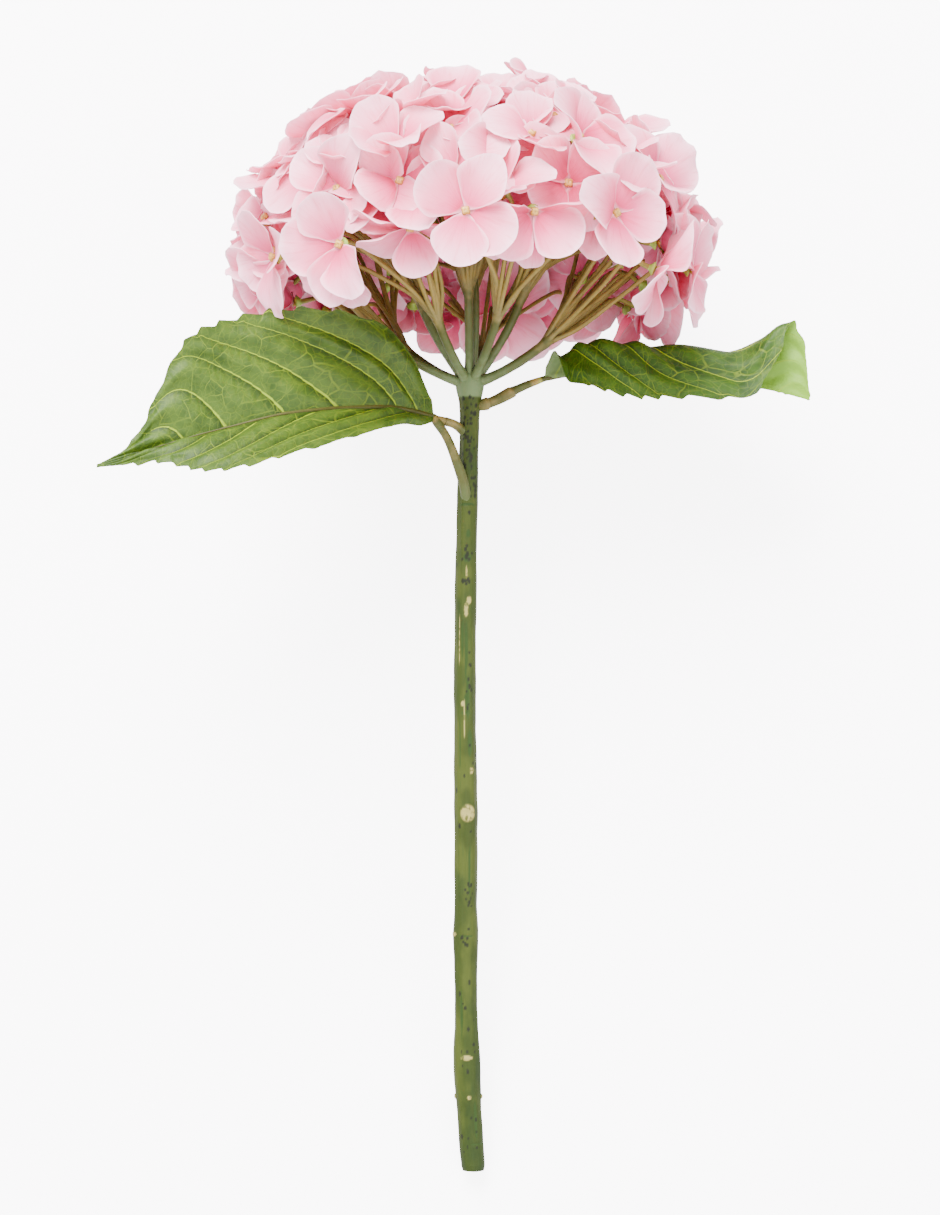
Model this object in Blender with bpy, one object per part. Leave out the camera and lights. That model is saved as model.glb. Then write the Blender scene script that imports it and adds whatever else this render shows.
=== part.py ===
"""A cut mophead hydrangea lying on a surface: stem, two leaves, flower rays and florets.

Everything is laid out in the plant frame and then laid down. Plant frame: origin in the hub
where the rays part, +Y up the stem to the head, +X to the right, +Z to the side that faces up
when the flower lies down. Row frame: origin on the surface under the middle of the flower.
"""

import math
import random

import bmesh
import bpy
import numpy as np
from mathutils import Matrix, Vector
from mathutils.bvhtree import BVHTree

MM = 0.001

# Driving dimensions.
STEM_LENGTH = 259 * MM  # hub to cut end
CUT_RADIUS = 3.8 * MM
HUB_RADIUS = 6.2 * MM
HEAD_RADIUS = 74 * MM  # of the shell that the floret centres lie on
HEAD_HALF_HEIGHT = 56 * MM
HEAD_CENTRE = 42 * MM  # above the hub
SEPAL_LENGTH = 20 * MM
SEPAL_THICKNESS = 0.8 * MM
SEPAL_CUP = 3.0 * MM
CALYX_LENGTH = 3.0 * MM
CALYX_RADIUS = 2.2 * MM
RAY_RADIUS = 1.45 * MM
PEDICEL_RADIUS = 0.8 * MM
PEDICEL_RUN = 7 * MM  # the straight stretch behind a floret
LEAF_THICKNESS = 0.9 * MM
GAP = 0.3 * MM  # between neighbouring solids
FLORETS = 45
SPACING = 31 * MM  # between neighbouring florets, where there is room
LEVELS = (0.0, 3.5 * MM, 7.0 * MM)  # overlapping florets sit at different depths
SEED = 11

# How the flower lies: the back of the head and the cut end both rest on the surface.
LEAN = math.radians(12.8)
HUB_HEIGHT = STEM_LENGTH * math.sin(LEAN) + CUT_RADIUS * math.cos(LEAN)
HUB_PLACE = Vector((2.7 * MM, 72.9 * MM, HUB_HEIGHT))
LAY_DOWN = Matrix.Translation(HUB_PLACE) @ Matrix.Rotation(LEAN, 4, "X")

# Stem stations from the cut end up, in mm: height, sideways drift, radius.
STEM_STATIONS = (
    (-259.0, 1.2, 3.8), (-250.0, 0.4, 3.9), (-240.0, -0.2, 3.9), (-233.0, -0.7, 4.3),
    (-226.0, -0.9, 4.5), (-220.0, -1.1, 4.3), (-212.0, -1.2, 3.8), (-190.0, -1.4, 3.8),
    (-181.0, -1.4, 4.2), (-172.0, -1.4, 3.8), (-148.0, -1.3, 3.8), (-141.0, -1.3, 4.1),
    (-134.0, -1.4, 3.8), (-98.0, -1.6, 3.6), (-58.0, -1.2, 3.5), (-38.0, -0.8, 3.4),
    (-10.0, 0.0, 3.2), (-5.0, 0.0, 3.6), (-2.0, 0.0, 5.2), (0.0, 0.0, 6.0), (2.0, 0.0, 6.0),
    (4.0, 0.0, 5.0), (5.6, 0.0, 3.2), (6.2, 0.0, 1.2),
)
STEM_SIDES = 12
# The leaf's socket, a short stub on the stem.
STUB_ROUTE = ((-1.0, -15.5, 1.0), (-5.0, -13.2, 3.2), (-8.2, -12.2, 4.6))
STUB_RADIUS = 1.5 * MM

# Flower rays: azimuth round the stem from +Z towards +X, elevation, distance hub to fork in mm.
RAYS = (
    (-28, 42, 31), (24, 44, 32), (72, 28, 31), (-80, 26, 30), (118, 28, 33), (-130, 26, 33),
    (172, 28, 34), (-2, 66, 34), (88, 60, 36), (180, 60, 36), (-92, 60, 36), (40, 88, 40),
)
RAY_ARCH = 10  # degrees lower at the hub than at the fork

# The florets that face up and give the head its look: azimuth and latitude on the head, turn
# in their own plane, then how far the face is raised and swung to the right.
FACE_FLORETS = (
    (-1, 6, 55, -4, 0), (16, 8, 45, -22, 0), (36, 7, 65, 0, -8), (-33, -3, 20, -4, 10),
    (54, -9, 30, -10, 30), (6, 28, 20, -8, 0), (-18, -2, 35, -26, -8), (-38, 17, 50, 0, 0),
    (-62, -4, 10, 0, -6), (-22, 32, 40, 0, 0), (33, 30, 10, 10, 0), (78, -6, 40, 0, 12),
    (-9, 57, 0, -12, 0), (61, 22, 30, 0, 0), (-58, 24, 60, 0, 0), (-46, -17, 15, -6, 6),
)

# The leaves. Midrib points in mm from blade base to tip, then half widths along it.
LEFT_MIDRIB = (
    (-12.0, -10.9, 7.0), (-27.0, -8.6, 18.0), (-55.0, -11.0, 33.0), (-77.0, -16.5, 41.0),
    (-94.0, -21.5, 46.0), (-117.0, -29.0, 50.0),
)
LEFT_HALF_WIDTH = 34 * MM
RIGHT_MIDRIB = (
    (39.5, 5.2, 2.0), (51.0, 4.6, -1.0), (63.0, 4.0, -3.0), (87.0, 2.0, -3.0), (100.0, -1.0, 0.0),
    (111.5, -5.0, 3.0),
)
RIGHT_HALF_WIDTH = 34 * MM
LEAF_OUTLINE = (
    (0.0, 0.08), (0.05, 0.34), (0.15, 0.72), (0.3, 0.95), (0.45, 1.0), (0.6, 0.93),
    (0.75, 0.72), (0.86, 0.42), (0.94, 0.16), (1.0, 0.05),
)
LEFT_PETIOLE = ((-1.2, -38.0, 5.0), (-2.6, -32.0, 5.2), (-4.4, -26.0, 5.6), (-7.6, -18.0, 6.2),
                (-12.0, -11.2, 6.8), (-16.0, -10.4, 9.6))
LEFT_PEG = ((-8.5, -12.1, 4.7), (-12.0, -11.2, 6.8), (-14.0, -10.8, 8.2))
RIGHT_PETIOLE = ((4.2, -6.6, 0.0), (8.0, -5.4, 0.6), (14.0, -2.2, 1.4), (21.0, 0.6, 1.8),
                 (33.0, 4.2, 1.8), (39.5, 5.0, 1.6), (45.0, 4.8, 0.2))
RIGHT_PETIOLE_RADII = (1.6, 1.7, 1.6, 1.2, 1.1, 1.0, 0.8)


def clear_scene():
    for thing in list(bpy.data.objects):
        bpy.data.objects.remove(thing, do_unlink=True)


def material(name, colour, roughness):
    made = bpy.data.materials.new(name)
    made.use_nodes = True
    shader = made.node_tree.nodes["Principled BSDF"]
    shader.inputs["Base Color"].default_value = (*colour, 1)
    shader.inputs["Roughness"].default_value = roughness
    shader.inputs["Metallic"].default_value = 0
    return made


def add_object(name, verts, faces, finish):
    """A named object whose mesh is given in the plant frame, laid down on the surface."""
    mesh = bpy.data.meshes.new(name)
    mesh.from_pydata([LAY_DOWN @ Vector(v) for v in verts], [], faces)
    shell = bmesh.new()
    shell.from_mesh(mesh)
    bmesh.ops.recalc_face_normals(shell, faces=shell.faces)
    shell.to_mesh(mesh)
    shell.free()
    mesh.materials.append(finish)
    mesh.shade_smooth()
    made = bpy.data.objects.new(name, mesh)
    bpy.context.collection.objects.link(made)
    return made


def unite(target, guide):
    """Make a guide object one body with the target."""
    guide.hide_render = True
    guide.display_type = "WIRE"
    join = target.modifiers.new("join " + guide.name, "BOOLEAN")
    join.operation = "UNION"
    join.solver = "EXACT"
    join.object = guide


# ---- Tubes ------------------------------------------------------------------------------
def in_metres(points):
    return [Vector(p) * MM for p in points]


def tube(route, radii, sides=6):
    """(verts, faces) of a closed tube along a route, with flat ends."""
    side = (route[1] - route[0]).orthogonal().normalized()
    verts = []
    for k, point in enumerate(route):
        ahead = route[min(k + 1, len(route) - 1)] - route[max(k - 1, 0)]
        side = (side - ahead * side.dot(ahead) / ahead.length_squared).normalized()
        other = ahead.normalized().cross(side)
        for n in range(sides):
            turn = 2 * math.pi * n / sides
            verts.append(point + radii[k] * (math.cos(turn) * side + math.sin(turn) * other))
    faces = [tuple(reversed(range(sides)))]
    for k in range(len(route) - 1):
        for n in range(sides):
            a, b = k * sides + n, k * sides + (n + 1) % sides
            faces.append((a, b, b + sides, a + sides))
    faces.append(tuple(range((len(route) - 1) * sides, len(route) * sides)))
    return verts, faces


def bend(start, pull, end, steps):
    """Points of a smooth curve from start to end, drawn towards pull."""
    points = []
    for k in range(steps + 1):
        t = k / steps
        points.append((1 - t) ** 2 * start + 2 * t * (1 - t) * pull + t**2 * end)
    return points


# ---- Where the rays and florets go ------------------------------------------------------
def direction(azimuth, elevation):
    turn, lift = math.radians(azimuth), math.radians(elevation)
    return Vector((math.cos(lift) * math.sin(turn), math.sin(lift), math.cos(lift) * math.cos(turn)))


def ray_route(azimuth, elevation, distance):
    """From just off the hub to the fork, arching upwards."""
    out = direction(azimuth, elevation - RAY_ARCH)
    start = out * (HUB_RADIUS + GAP)
    fork = direction(azimuth, elevation) * distance * MM
    return bend(start, start + out * 0.45 * distance * MM, fork, 4)


def head_frame(azimuth, latitude, depth):
    """A frame on the head's shell: x round the stem, y up along the head, z outwards."""
    a, b = HEAD_RADIUS - depth, HEAD_HALF_HEIGHT - depth
    turn, lift = math.radians(azimuth), math.radians(latitude)
    east = Vector((math.cos(turn), 0, -math.sin(turn)))
    out = Vector((math.cos(lift) * math.sin(turn) / a, math.sin(lift) / b,
                  math.cos(lift) * math.cos(turn) / a)).normalized()
    place = Vector((out.x * a * a, out.y * b * b, out.z * a * a))
    place /= math.sqrt((out.x * a) ** 2 + (out.y * b) ** 2 + (out.z * a) ** 2)
    place.y += HEAD_CENTRE
    frame = Matrix((east, out.cross(east), out)).transposed().to_4x4()
    return Matrix.Translation(place) @ frame


def rim_latitude(azimuth):
    """The lowest florets: level in front, drooping at the back."""
    return -14 + 14 * math.cos(math.radians(azimuth))


def floret_sites():
    """(azimuth, latitude) of every floret: the others spread out evenly round the face florets."""
    fixed = [(row[0], row[1]) for row in FACE_FLORETS]
    sites = list(fixed)
    for k in range(FLORETS - len(fixed)):
        azimuth = 90 + 137.5 * k % 360
        height = 1 - (k + 0.5) / (FLORETS - len(fixed)) * 1.2
        sites.append((azimuth, max(math.degrees(math.asin(height)), rim_latitude(azimuth))))
    for _ in range(150):
        places = np.array([head_frame(a, l, 0).translation for a, l in sites])
        apart = places[:, None] - places[None]
        distance = np.linalg.norm(apart, axis=2) + np.eye(len(sites))
        push = np.clip(SPACING / distance - 1, 0, 1)
        np.fill_diagonal(push, 0)
        places += 0.2 * (apart * push[..., None]).sum(1)
        for k in range(len(fixed), len(sites)):
            x, y, z = places[k]
            azimuth = math.degrees(math.atan2(x, z))
            level = math.hypot(x, z) / HEAD_RADIUS
            latitude = math.degrees(math.atan2((y - HEAD_CENTRE) / HEAD_HALF_HEIGHT, level))
            sites[k] = (azimuth, max(latitude, rim_latitude(azimuth)))
    return sites


def floret_shape(size, grow=0.0):
    """(verts, faces) of a four-lobed, slightly cupped floret with its calyx behind it, facing +z."""
    spokes = 16
    rings = []
    for share, edge in ((0, CALYX_RADIUS), (0.55, 0), (1, 0)):
        rings.append([])
        for n in range(spokes):
            turn = 2 * math.pi * n / spokes
            off = (turn + math.pi / 4) % (math.pi / 2) - math.pi / 4
            reach = share * (size * SEPAL_LENGTH * math.cos(off) ** 1.6 + grow) + edge
            height = SEPAL_CUP * (reach / SEPAL_LENGTH) ** 2
            rings[-1].append((reach * math.cos(turn), reach * math.sin(turn), height))
    verts = [(0, 0, grow)]
    verts += [(x, y, z + grow) for ring in rings for x, y, z in ring]
    under = len(verts)
    verts.append((0, 0, -CALYX_LENGTH - grow))
    verts += [(x, y, z - SEPAL_THICKNESS - grow) for ring in rings for x, y, z in ring]
    faces = []
    for n in range(spokes):
        m = (n + 1) % spokes
        faces.append((0, 1 + n, 1 + m))
        faces.append((under, under + 1 + m, under + 1 + n))
        for k in range(len(rings) - 1):
            a, b = 1 + k * spokes, 1 + (k + 1) * spokes
            faces.append((a + n, b + n, b + m, a + m))
            faces.append((under + a + m, under + b + m, under + b + n, under + a + n))
        rim = 1 + (len(rings) - 1) * spokes
        faces.append((rim + n, under + rim + n, under + rim + m, rim + m))
    return verts, faces


def pedicel_route(place, fork):
    """From the fork to just behind the floret's calyx."""
    tip = place @ Vector((0, 0, -CALYX_LENGTH - GAP))
    behind = place @ Vector((0, 0, -CALYX_LENGTH - PEDICEL_RUN))
    return [fork, fork.lerp(behind, 0.55), behind, tip]


def floret_place(site, depth, spin, rise, swing):
    tilt = Matrix.Rotation(math.radians(-rise), 4, "X") @ Matrix.Rotation(math.radians(swing), 4, "Y")
    return head_frame(*site, depth) @ tilt @ Matrix.Rotation(math.radians(spin), 4, "Z")


def lifted(place, verts):
    """The place moved up off the surface, if the floret would reach below it."""
    lowest = min((LAY_DOWN @ place @ Vector(v)).z for v in verts)
    up = LAY_DOWN.to_3x3().transposed() @ Vector((0, 0, max(0, -lowest)))
    return Matrix.Translation(up) @ place


def tree(verts, faces, place=Matrix()):
    return BVHTree.FromPolygons([place @ Vector(v) for v in verts], faces)


def nearest_ray(point, forks):
    return max(range(len(forks)), key=lambda r: forks[r].normalized().dot(point.normalized()))


def candidates(index, site, rng):
    """Ever looser tries at a floret's place: depth, turn, rise, swing and size."""
    face = FACE_FLORETS[index] if index < len(FACE_FLORETS) else None
    for attempt in range(600):
        loose = attempt / 600
        if face:
            spread = 60 * loose
            spin, rise, swing = (v + rng.uniform(-spread, spread) for v in face[2:])
            depth = LEVELS[0] if attempt < 20 else rng.choice(LEVELS) * (0.6 + 1.8 * loose)
        else:
            spin = rng.uniform(0, 90)
            rise, swing = (rng.uniform(-1, 1) * (14 + 30 * loose) for _ in range(2))
            depth = rng.choice(LEVELS) * (0.6 + 1.8 * loose)
        near = tuple(angle + rng.uniform(-14, 14) * loose for angle in site)
        yield floret_place(near, depth, spin, rise, swing), rng.uniform(0.94, 1.04) - 0.3 * loose**2


def place_florets(forks, obstacles):
    """Find every floret a place that clears its neighbours: (place, size, ray) for each."""
    rng = random.Random(SEED)
    taken = []
    florets = []
    for index, site in enumerate(floret_sites()):
        for place, size in candidates(index, site, rng):
            place = lifted(place, floret_shape(size)[0])
            ray = nearest_ray(place @ Vector((0, 0, -PEDICEL_RUN)), forks)
            route = pedicel_route(place, forks[ray])
            blade = tree(*floret_shape(size, GAP / 2), place)
            stalk = tree(*tube(route, [PEDICEL_RADIUS + GAP] * 4, 4))
            if any(blade.overlap(solid) or stalk.overlap(solid)
                   for owner, solid in obstacles if owner != ray):
                continue
            if any(blade.overlap(other) or blade.overlap(other_stalk) or stalk.overlap(other)
                   or (owner != ray and stalk.overlap(other_stalk))
                   for other, other_stalk, owner in taken):
                continue
            taken.append((blade, stalk, ray))
            florets.append((place, size, ray))
            break
        else:
            print("no room for floret", index)
    return florets


# ---- Leaves -----------------------------------------------------------------------------
def along(points, t):
    """A point at t, from 0 to 1, on a smooth curve through the points."""
    spans = len(points) - 1
    k = min(int(t * spans), spans - 1)
    f = t * spans - k
    before, a, b, after = (points[min(max(k + n, 0), spans)] for n in (-1, 0, 1, 2))
    return 0.5 * (2 * a + (b - before) * f + (2 * before - 5 * a + 4 * b - after) * f**2
                  + (3 * a - before - 3 * b + after) * f**3)


def outline_width(t):
    """The leaf's half width at t as a share of the widest."""
    for (t0, w0), (t1, w1) in zip(LEAF_OUTLINE, LEAF_OUTLINE[1:]):
        if t <= t1:
            return w0 + (w1 - w0) * (t - t0) / (t1 - t0)
    return LEAF_OUTLINE[-1][1]


def smooth_step(low, high, value):
    share = min(max((value - low) / (high - low), 0), 1)
    return share * share * (3 - 2 * share)


def flat_ends(t):
    """1 at the leaf's base and tip, where the two halves lie in one plane, and 0 between."""
    return 1 - smooth_step(0.0, 0.12, t) * (1 - smooth_step(0.8, 1.0, t))


def left_slope(t, side, u):
    """Direction of the left leaf's section, in degrees: 90 is up the plant, 0 is towards +Z."""
    return 102 - 14 * u if side > 0 else -28 - 14 * u - 50 * flat_ends(t)


def right_slope(t, side, u):
    """The right leaf's near half rises, rolls over and hangs down in front, and ends flat."""
    if side < 0:
        return 170 - 10 * u + 90 * flat_ends(t)
    rolled = smooth_step(0.0, 0.12, t) * (1 - smooth_step(0.7, 0.95, t))
    return 88 - 150 * rolled * smooth_step(0.22, 0.55, u)


def leaf_point(midrib, half_width, slope, t, side, u):
    """A point of the blade: t along the midrib, u from the midrib to the edge on one side."""
    reach = half_width * outline_width(t)
    point = along(midrib, t)
    steps = 12
    for k in range(steps):
        angle = math.radians(slope(t, side, u * (k + 0.5) / steps))
        point = point + reach * u / steps * Vector((0, math.sin(angle), math.cos(angle)))
    # The edges lie ahead of the midrib, as the side veins run towards the tip.
    lead = along(midrib, min(t + 0.02, 1)) - along(midrib, max(t - 0.02, 0))
    return point + lead.normalized() * reach * u * 0.12


def leaf_blade(midrib, half_width, slope, columns):
    """(verts, faces) of a closed blade: a grid of points thickened downwards."""
    rows = (0, 0.04, 0.12, 0.24, 0.38, 0.52, 0.66, 0.78, 0.88, 0.95, 1)
    sheet = [[leaf_point(midrib, half_width, slope, t, side, u) for side, u in columns] for t in rows]
    wide = len(columns)
    top, under = [], []
    for r in range(len(rows)):
        for c in range(wide):
            run = sheet[min(r + 1, len(rows) - 1)][c] - sheet[max(r - 1, 0)][c]
            across = sheet[r][min(c + 1, wide - 1)] - sheet[r][max(c - 1, 0)]
            normal = run.cross(across).normalized()
            top.append(sheet[r][c] + normal * LEAF_THICKNESS / 2)
            under.append(sheet[r][c] - normal * LEAF_THICKNESS / 2)
    shift = len(top)
    faces = []
    for r in range(len(rows) - 1):
        for c in range(wide - 1):
            a, b = r * wide + c, (r + 1) * wide + c
            faces.append((a, b, b + 1, a + 1))
            faces.append((shift + a, shift + a + 1, shift + b + 1, shift + b))
    last = len(rows) - 1
    edge = [(r, 0) for r in range(last)] + [(last, c) for c in range(wide - 1)]
    edge += [(r, wide - 1) for r in range(last, 0, -1)] + [(0, c) for c in range(wide - 1, 0, -1)]
    loop = [r * wide + c for r, c in edge]
    for a, b in zip(loop, loop[1:] + loop[:1]):
        faces.append((a, shift + a, shift + b, b))
    return top + under, faces


def leaf_columns(shares):
    return [(-1, u) for u in reversed(shares)] + [(1, 0)] + [(1, u) for u in shares]


# ---- The solids -------------------------------------------------------------------------
def stem_solid():
    route = [Vector((x, y, 0)) * MM for y, x, _ in STEM_STATIONS]
    return tube(route, [r * MM for _, _, r in STEM_STATIONS], STEM_SIDES)


def build():
    clear_scene()
    green = material("stem green", (0.22, 0.34, 0.06), 0.55)
    leaf_green = material("leaf green", (0.14, 0.29, 0.07), 0.5)
    olive = material("ray olive", (0.27, 0.25, 0.1), 0.55)
    pink = material("sepal pink", (0.87, 0.5, 0.58), 0.6)

    stem = add_object("stem", *stem_solid(), green)
    stub = add_object("stub guide", *tube(in_metres(STUB_ROUTE), [STUB_RADIUS] * 3), green)
    unite(stem, stub)

    few = leaf_columns((0.33, 0.66, 1))
    many = leaf_columns((0.2, 0.3, 0.4, 0.5, 0.75, 1))
    leaves = (
        ("leaf_left", LEFT_MIDRIB, LEFT_HALF_WIDTH, left_slope, few,
         ((LEFT_PETIOLE, (1.3, 1.2, 1.2, 1.2, 1.3, 0.9)), (LEFT_PEG, (1.3, 1.1, 0.9)))),
        ("leaf_right", RIGHT_MIDRIB, RIGHT_HALF_WIDTH, right_slope, many,
         ((RIGHT_PETIOLE, RIGHT_PETIOLE_RADII),)),
    )
    obstacles = []
    for name, midrib, half_width, slope, columns, stalks in leaves:
        blade = leaf_blade(in_metres(midrib), half_width, slope, columns)
        obstacles.append((None, tree(*blade)))
        leaf = add_object(name, *blade, leaf_green)
        for n, (route, radii) in enumerate(stalks):
            solid = tube(in_metres(route), [r * MM for r in radii])
            unite(leaf, add_object(f"{name} stalk guide {n}", *solid, leaf_green))

    routes = [ray_route(*row) for row in RAYS]
    forks = [route[-1] for route in routes]
    rays = []
    for number, route in enumerate(routes):
        past = route[-1] + (route[-1] - route[-2]).normalized() * RAY_RADIUS
        thick = [RAY_RADIUS] * 4 + [RAY_RADIUS * 1.3, RAY_RADIUS]
        solid = tube(route + [past], thick, 8)
        obstacles.append((number, tree(*solid)))
        rays.append(add_object(f"ray_{number + 1:02d}", *solid, olive))

    for number, (place, size, ray) in enumerate(place_florets(forks, obstacles)):
        verts, faces = floret_shape(size)
        add_object(f"floret_{number + 1:02d}", [place @ Vector(v) for v in verts], faces, pink)
        solid = tube(pedicel_route(place, forks[ray]), [PEDICEL_RADIUS * s for s in (1.4, 1, 1, 1)])
        unite(rays[ray], add_object(f"pedicel guide {number + 1:02d}", *solid, olive))


build()
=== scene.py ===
import math
import random

import bmesh
import bpy
import numpy as np
from mathutils import Matrix, Vector


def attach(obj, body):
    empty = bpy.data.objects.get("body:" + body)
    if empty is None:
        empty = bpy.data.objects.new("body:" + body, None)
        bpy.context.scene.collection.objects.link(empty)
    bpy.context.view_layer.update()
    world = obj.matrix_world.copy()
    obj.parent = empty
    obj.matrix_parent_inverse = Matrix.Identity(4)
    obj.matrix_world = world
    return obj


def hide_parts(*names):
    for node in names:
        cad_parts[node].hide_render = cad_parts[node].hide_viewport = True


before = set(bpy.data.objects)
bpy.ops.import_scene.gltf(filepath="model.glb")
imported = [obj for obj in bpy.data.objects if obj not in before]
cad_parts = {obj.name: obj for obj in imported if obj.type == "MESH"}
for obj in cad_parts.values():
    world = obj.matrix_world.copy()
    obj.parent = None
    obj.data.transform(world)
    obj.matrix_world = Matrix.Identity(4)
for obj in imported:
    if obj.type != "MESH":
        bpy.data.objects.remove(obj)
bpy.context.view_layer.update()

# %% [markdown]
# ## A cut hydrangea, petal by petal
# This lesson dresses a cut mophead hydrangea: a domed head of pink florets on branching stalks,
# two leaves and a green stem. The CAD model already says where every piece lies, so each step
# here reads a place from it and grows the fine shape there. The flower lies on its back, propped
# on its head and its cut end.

MM = 0.001


def paint(hex_colour):
    """An sRGB hex colour as the linear RGBA that Blender's sockets take."""
    parts = [int(hex_colour[k:k + 2], 16) / 255 for k in (1, 3, 5)]
    linear = [c / 12.92 if c <= 0.04045 else ((c + 0.055) / 1.055) ** 2.4 for c in parts]
    return (*linear, 1.0)


def add(tree, kind, settings=None, **inputs):
    """Add a node. Inputs are named by socket (i0, i1... by number) and are values or sockets."""
    node = tree.nodes.new(kind)
    for name, value in (settings or {}).items():
        setattr(node, name, value)
    for name, value in inputs.items():
        key = int(name[1:]) if name[1:].isdigit() else name.replace("_", " ")
        if isinstance(value, bpy.types.NodeSocket):
            tree.links.new(value, node.inputs[key])
        else:
            node.inputs[key].default_value = value
    return node


def calc(tree, operation, *terms):
    """The output of a Math node."""
    inputs = {f"i{k}": term for k, term in enumerate(terms)}
    return add(tree, "ShaderNodeMath", {"operation": operation}, **inputs).outputs[0]


def mark(tree, name):
    """The float attribute that the mesh carries under this name."""
    return add(tree, "ShaderNodeAttribute", {"attribute_name": name}).outputs["Fac"]


def new_finish(name, roughness, specular=0.5):
    """(material, node tree, its Principled node)."""
    material = bpy.data.materials.new(name)
    material.use_nodes = True
    shader = material.node_tree.nodes["Principled BSDF"]
    shader.inputs["Roughness"].default_value = roughness
    shader.inputs["Specular IOR Level"].default_value = specular
    return material, material.node_tree, shader


def smooth_step(low, high, value):
    """0 up to low, 1 from high on, and a soft S between them."""
    share = np.clip((value - low) / (high - low), 0, 1)
    return share * share * (3 - 2 * share)


def softened(values, reach):
    """Each value averaged with its neighbours up to reach places away."""
    width = 2 * reach + 1
    return np.convolve(np.pad(values, reach, "edge"), np.ones(width) / width, "valid")


def set_marks(mesh, **marks):
    """Write the numbers of each mark on the mesh's points, for the node trees to read."""
    for name, values in marks.items():
        values = np.asarray(values, dtype=np.float32).ravel()
        mesh.attributes.new(name, "FLOAT", "POINT").data.foreach_set("value", values)


def corner_points(mesh):
    """The number of the point at every face corner."""
    corners = np.zeros(len(mesh.loops), dtype=np.int32)
    mesh.loops.foreach_get("vertex_index", corners)
    return corners


def shade_soft(mesh, crease=50):
    """Smooth shading, except over edges that turn by more than crease degrees."""
    mesh.shade_smooth()
    mesh.set_sharp_from_angle(angle=math.radians(crease))


pieces = []


def add_piece(name, mesh, slot, *nodes):
    """Show a finished mesh as a piece that rides on the flower and stands for CAD nodes."""
    piece = bpy.data.objects.new(name, mesh)
    bpy.context.collection.objects.link(piece)
    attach(piece, "root")
    if nodes:
        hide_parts(*nodes)
    pieces.append(piece)


print("the frame has", len(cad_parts), "nodes")

# %% [markdown]
# ## The plant frame
# The flower is easiest to describe standing up: origin in the hub where the flower rays part,
# +Y up the stem, +X to the right, +Z towards the side that faces up when it lies down. One
# matrix, the same as in the CAD, lays it down. The florets are read back from their CAD solids:
# each is a four-lobed cup, so its flattest direction is the way it faces, its hindmost point is
# the calyx, and a fourfold sum over its rim gives how far it is turned.

# %% Lay the plant down, and read the florets' places
STEM_LENGTH = 259 * MM
CUT_RADIUS = 3.8 * MM
SEPAL_LENGTH = 20 * MM
CALYX_LENGTH = 3 * MM
PEDICEL_RUN = 7 * MM  # the last, straight length of a floret's stalk
LEAN = math.radians(12.8)
HUB_SPOT = (2.7 * MM, 72.9 * MM)  # the place on the table that lies under the hub
HUB_HEIGHT = STEM_LENGTH * math.sin(LEAN) + CUT_RADIUS * math.cos(LEAN)
LAY_DOWN = Matrix.Translation((*HUB_SPOT, HUB_HEIGHT)) @ Matrix.Rotation(LEAN, 4, "X")


def read_floret(node):
    """(place in the plant frame, size) of a CAD floret."""
    points = {tuple(round(c, 6) for c in v.co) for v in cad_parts[node].data.vertices}
    points = np.array(sorted(points))
    middle = points.mean(0)
    facing = np.linalg.svd(points - middle)[2][2]
    depth = (points - middle) @ facing
    if depth.max() > -depth.min():
        facing, depth = -facing, -depth
    heart = points[depth.argmin()] + facing * CALYX_LENGTH
    facing = Vector(facing)
    side = Vector((1, 0, 0)).cross(facing).normalized()
    other = facing.cross(side)
    flat = (points - heart) @ np.array([side, other]).T
    reach = np.hypot(flat[:, 0], flat[:, 1])
    turn = np.arctan2(flat[:, 1], flat[:, 0])
    # The high power lets the tips of the four lobes decide.
    spin = np.angle((reach**8 * np.exp(4j * turn)).sum()) / 4
    place = Matrix((side, other, facing)).transposed().to_4x4()
    place = Matrix.Translation(Vector(heart)) @ place @ Matrix.Rotation(float(spin), 4, "Z")
    return LAY_DOWN.inverted() @ place, float(reach.max() / SEPAL_LENGTH)


floret_nodes = sorted(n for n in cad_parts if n.startswith("floret"))
florets = [read_floret(node) for node in floret_nodes]
widths = [2 * SEPAL_LENGTH / MM * size for _, size in florets]
print(f"{len(florets)} florets, {min(widths):.0f} to {max(widths):.0f} mm across")

# %% [markdown]
# ## Camera, floor and light
# The flower lies on a pale studio table and the camera looks down on it, square to the stem, a
# metre away, so stem and head show at full length. The light is that of a white studio: a big
# soft box above and beyond the head, a weaker one on the other side, and a pale sky all round.

# %% Set the camera, the floor and the lights
CAMERA_DISTANCE = 1.0
CAMERA_DROP = 73.4 * MM  # the view's middle lies this far down the stem from the hub
VIEW_HEIGHT = 401 * MM  # how much of the plant's plane the view takes in, top to bottom
FILM = 36  # size of the camera's sensor, in mm
TABLE_REACH = 9  # metres to each side, so that no edge comes into view
TABLE_GLOW = 6.0  # seen by the camera only
SKY_LIGHT = 2.0  # the sky's strength for the flower
SKY_GLOW = 5.0  # added where the camera looks straight at the sky
SOFT_BOXES = (
    # name, place, point it shines at, side in metres, power in watts
    ("key", (-0.35, 0.95, 1.25), (0, 0.1, 0.05), 1.0, 128),
    ("fill", (0.9, -0.5, 1.1), (0, 0.05, 0.05), 1.2, 26),
    ("front", (-0.5, -0.9, 1.2), (0, 0.05, 0.05), 1.2, 18),
)

camera = bpy.data.objects.new("camera", bpy.data.cameras.new("camera"))
bpy.context.collection.objects.link(camera)
camera.matrix_world = LAY_DOWN @ Matrix.Translation((0, -CAMERA_DROP, CAMERA_DISTANCE))
camera.data.sensor_width = FILM
camera.data.lens = FILM * CAMERA_DISTANCE / VIEW_HEIGHT
camera.data.clip_start = 0.01
bpy.context.scene.camera = camera

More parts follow.
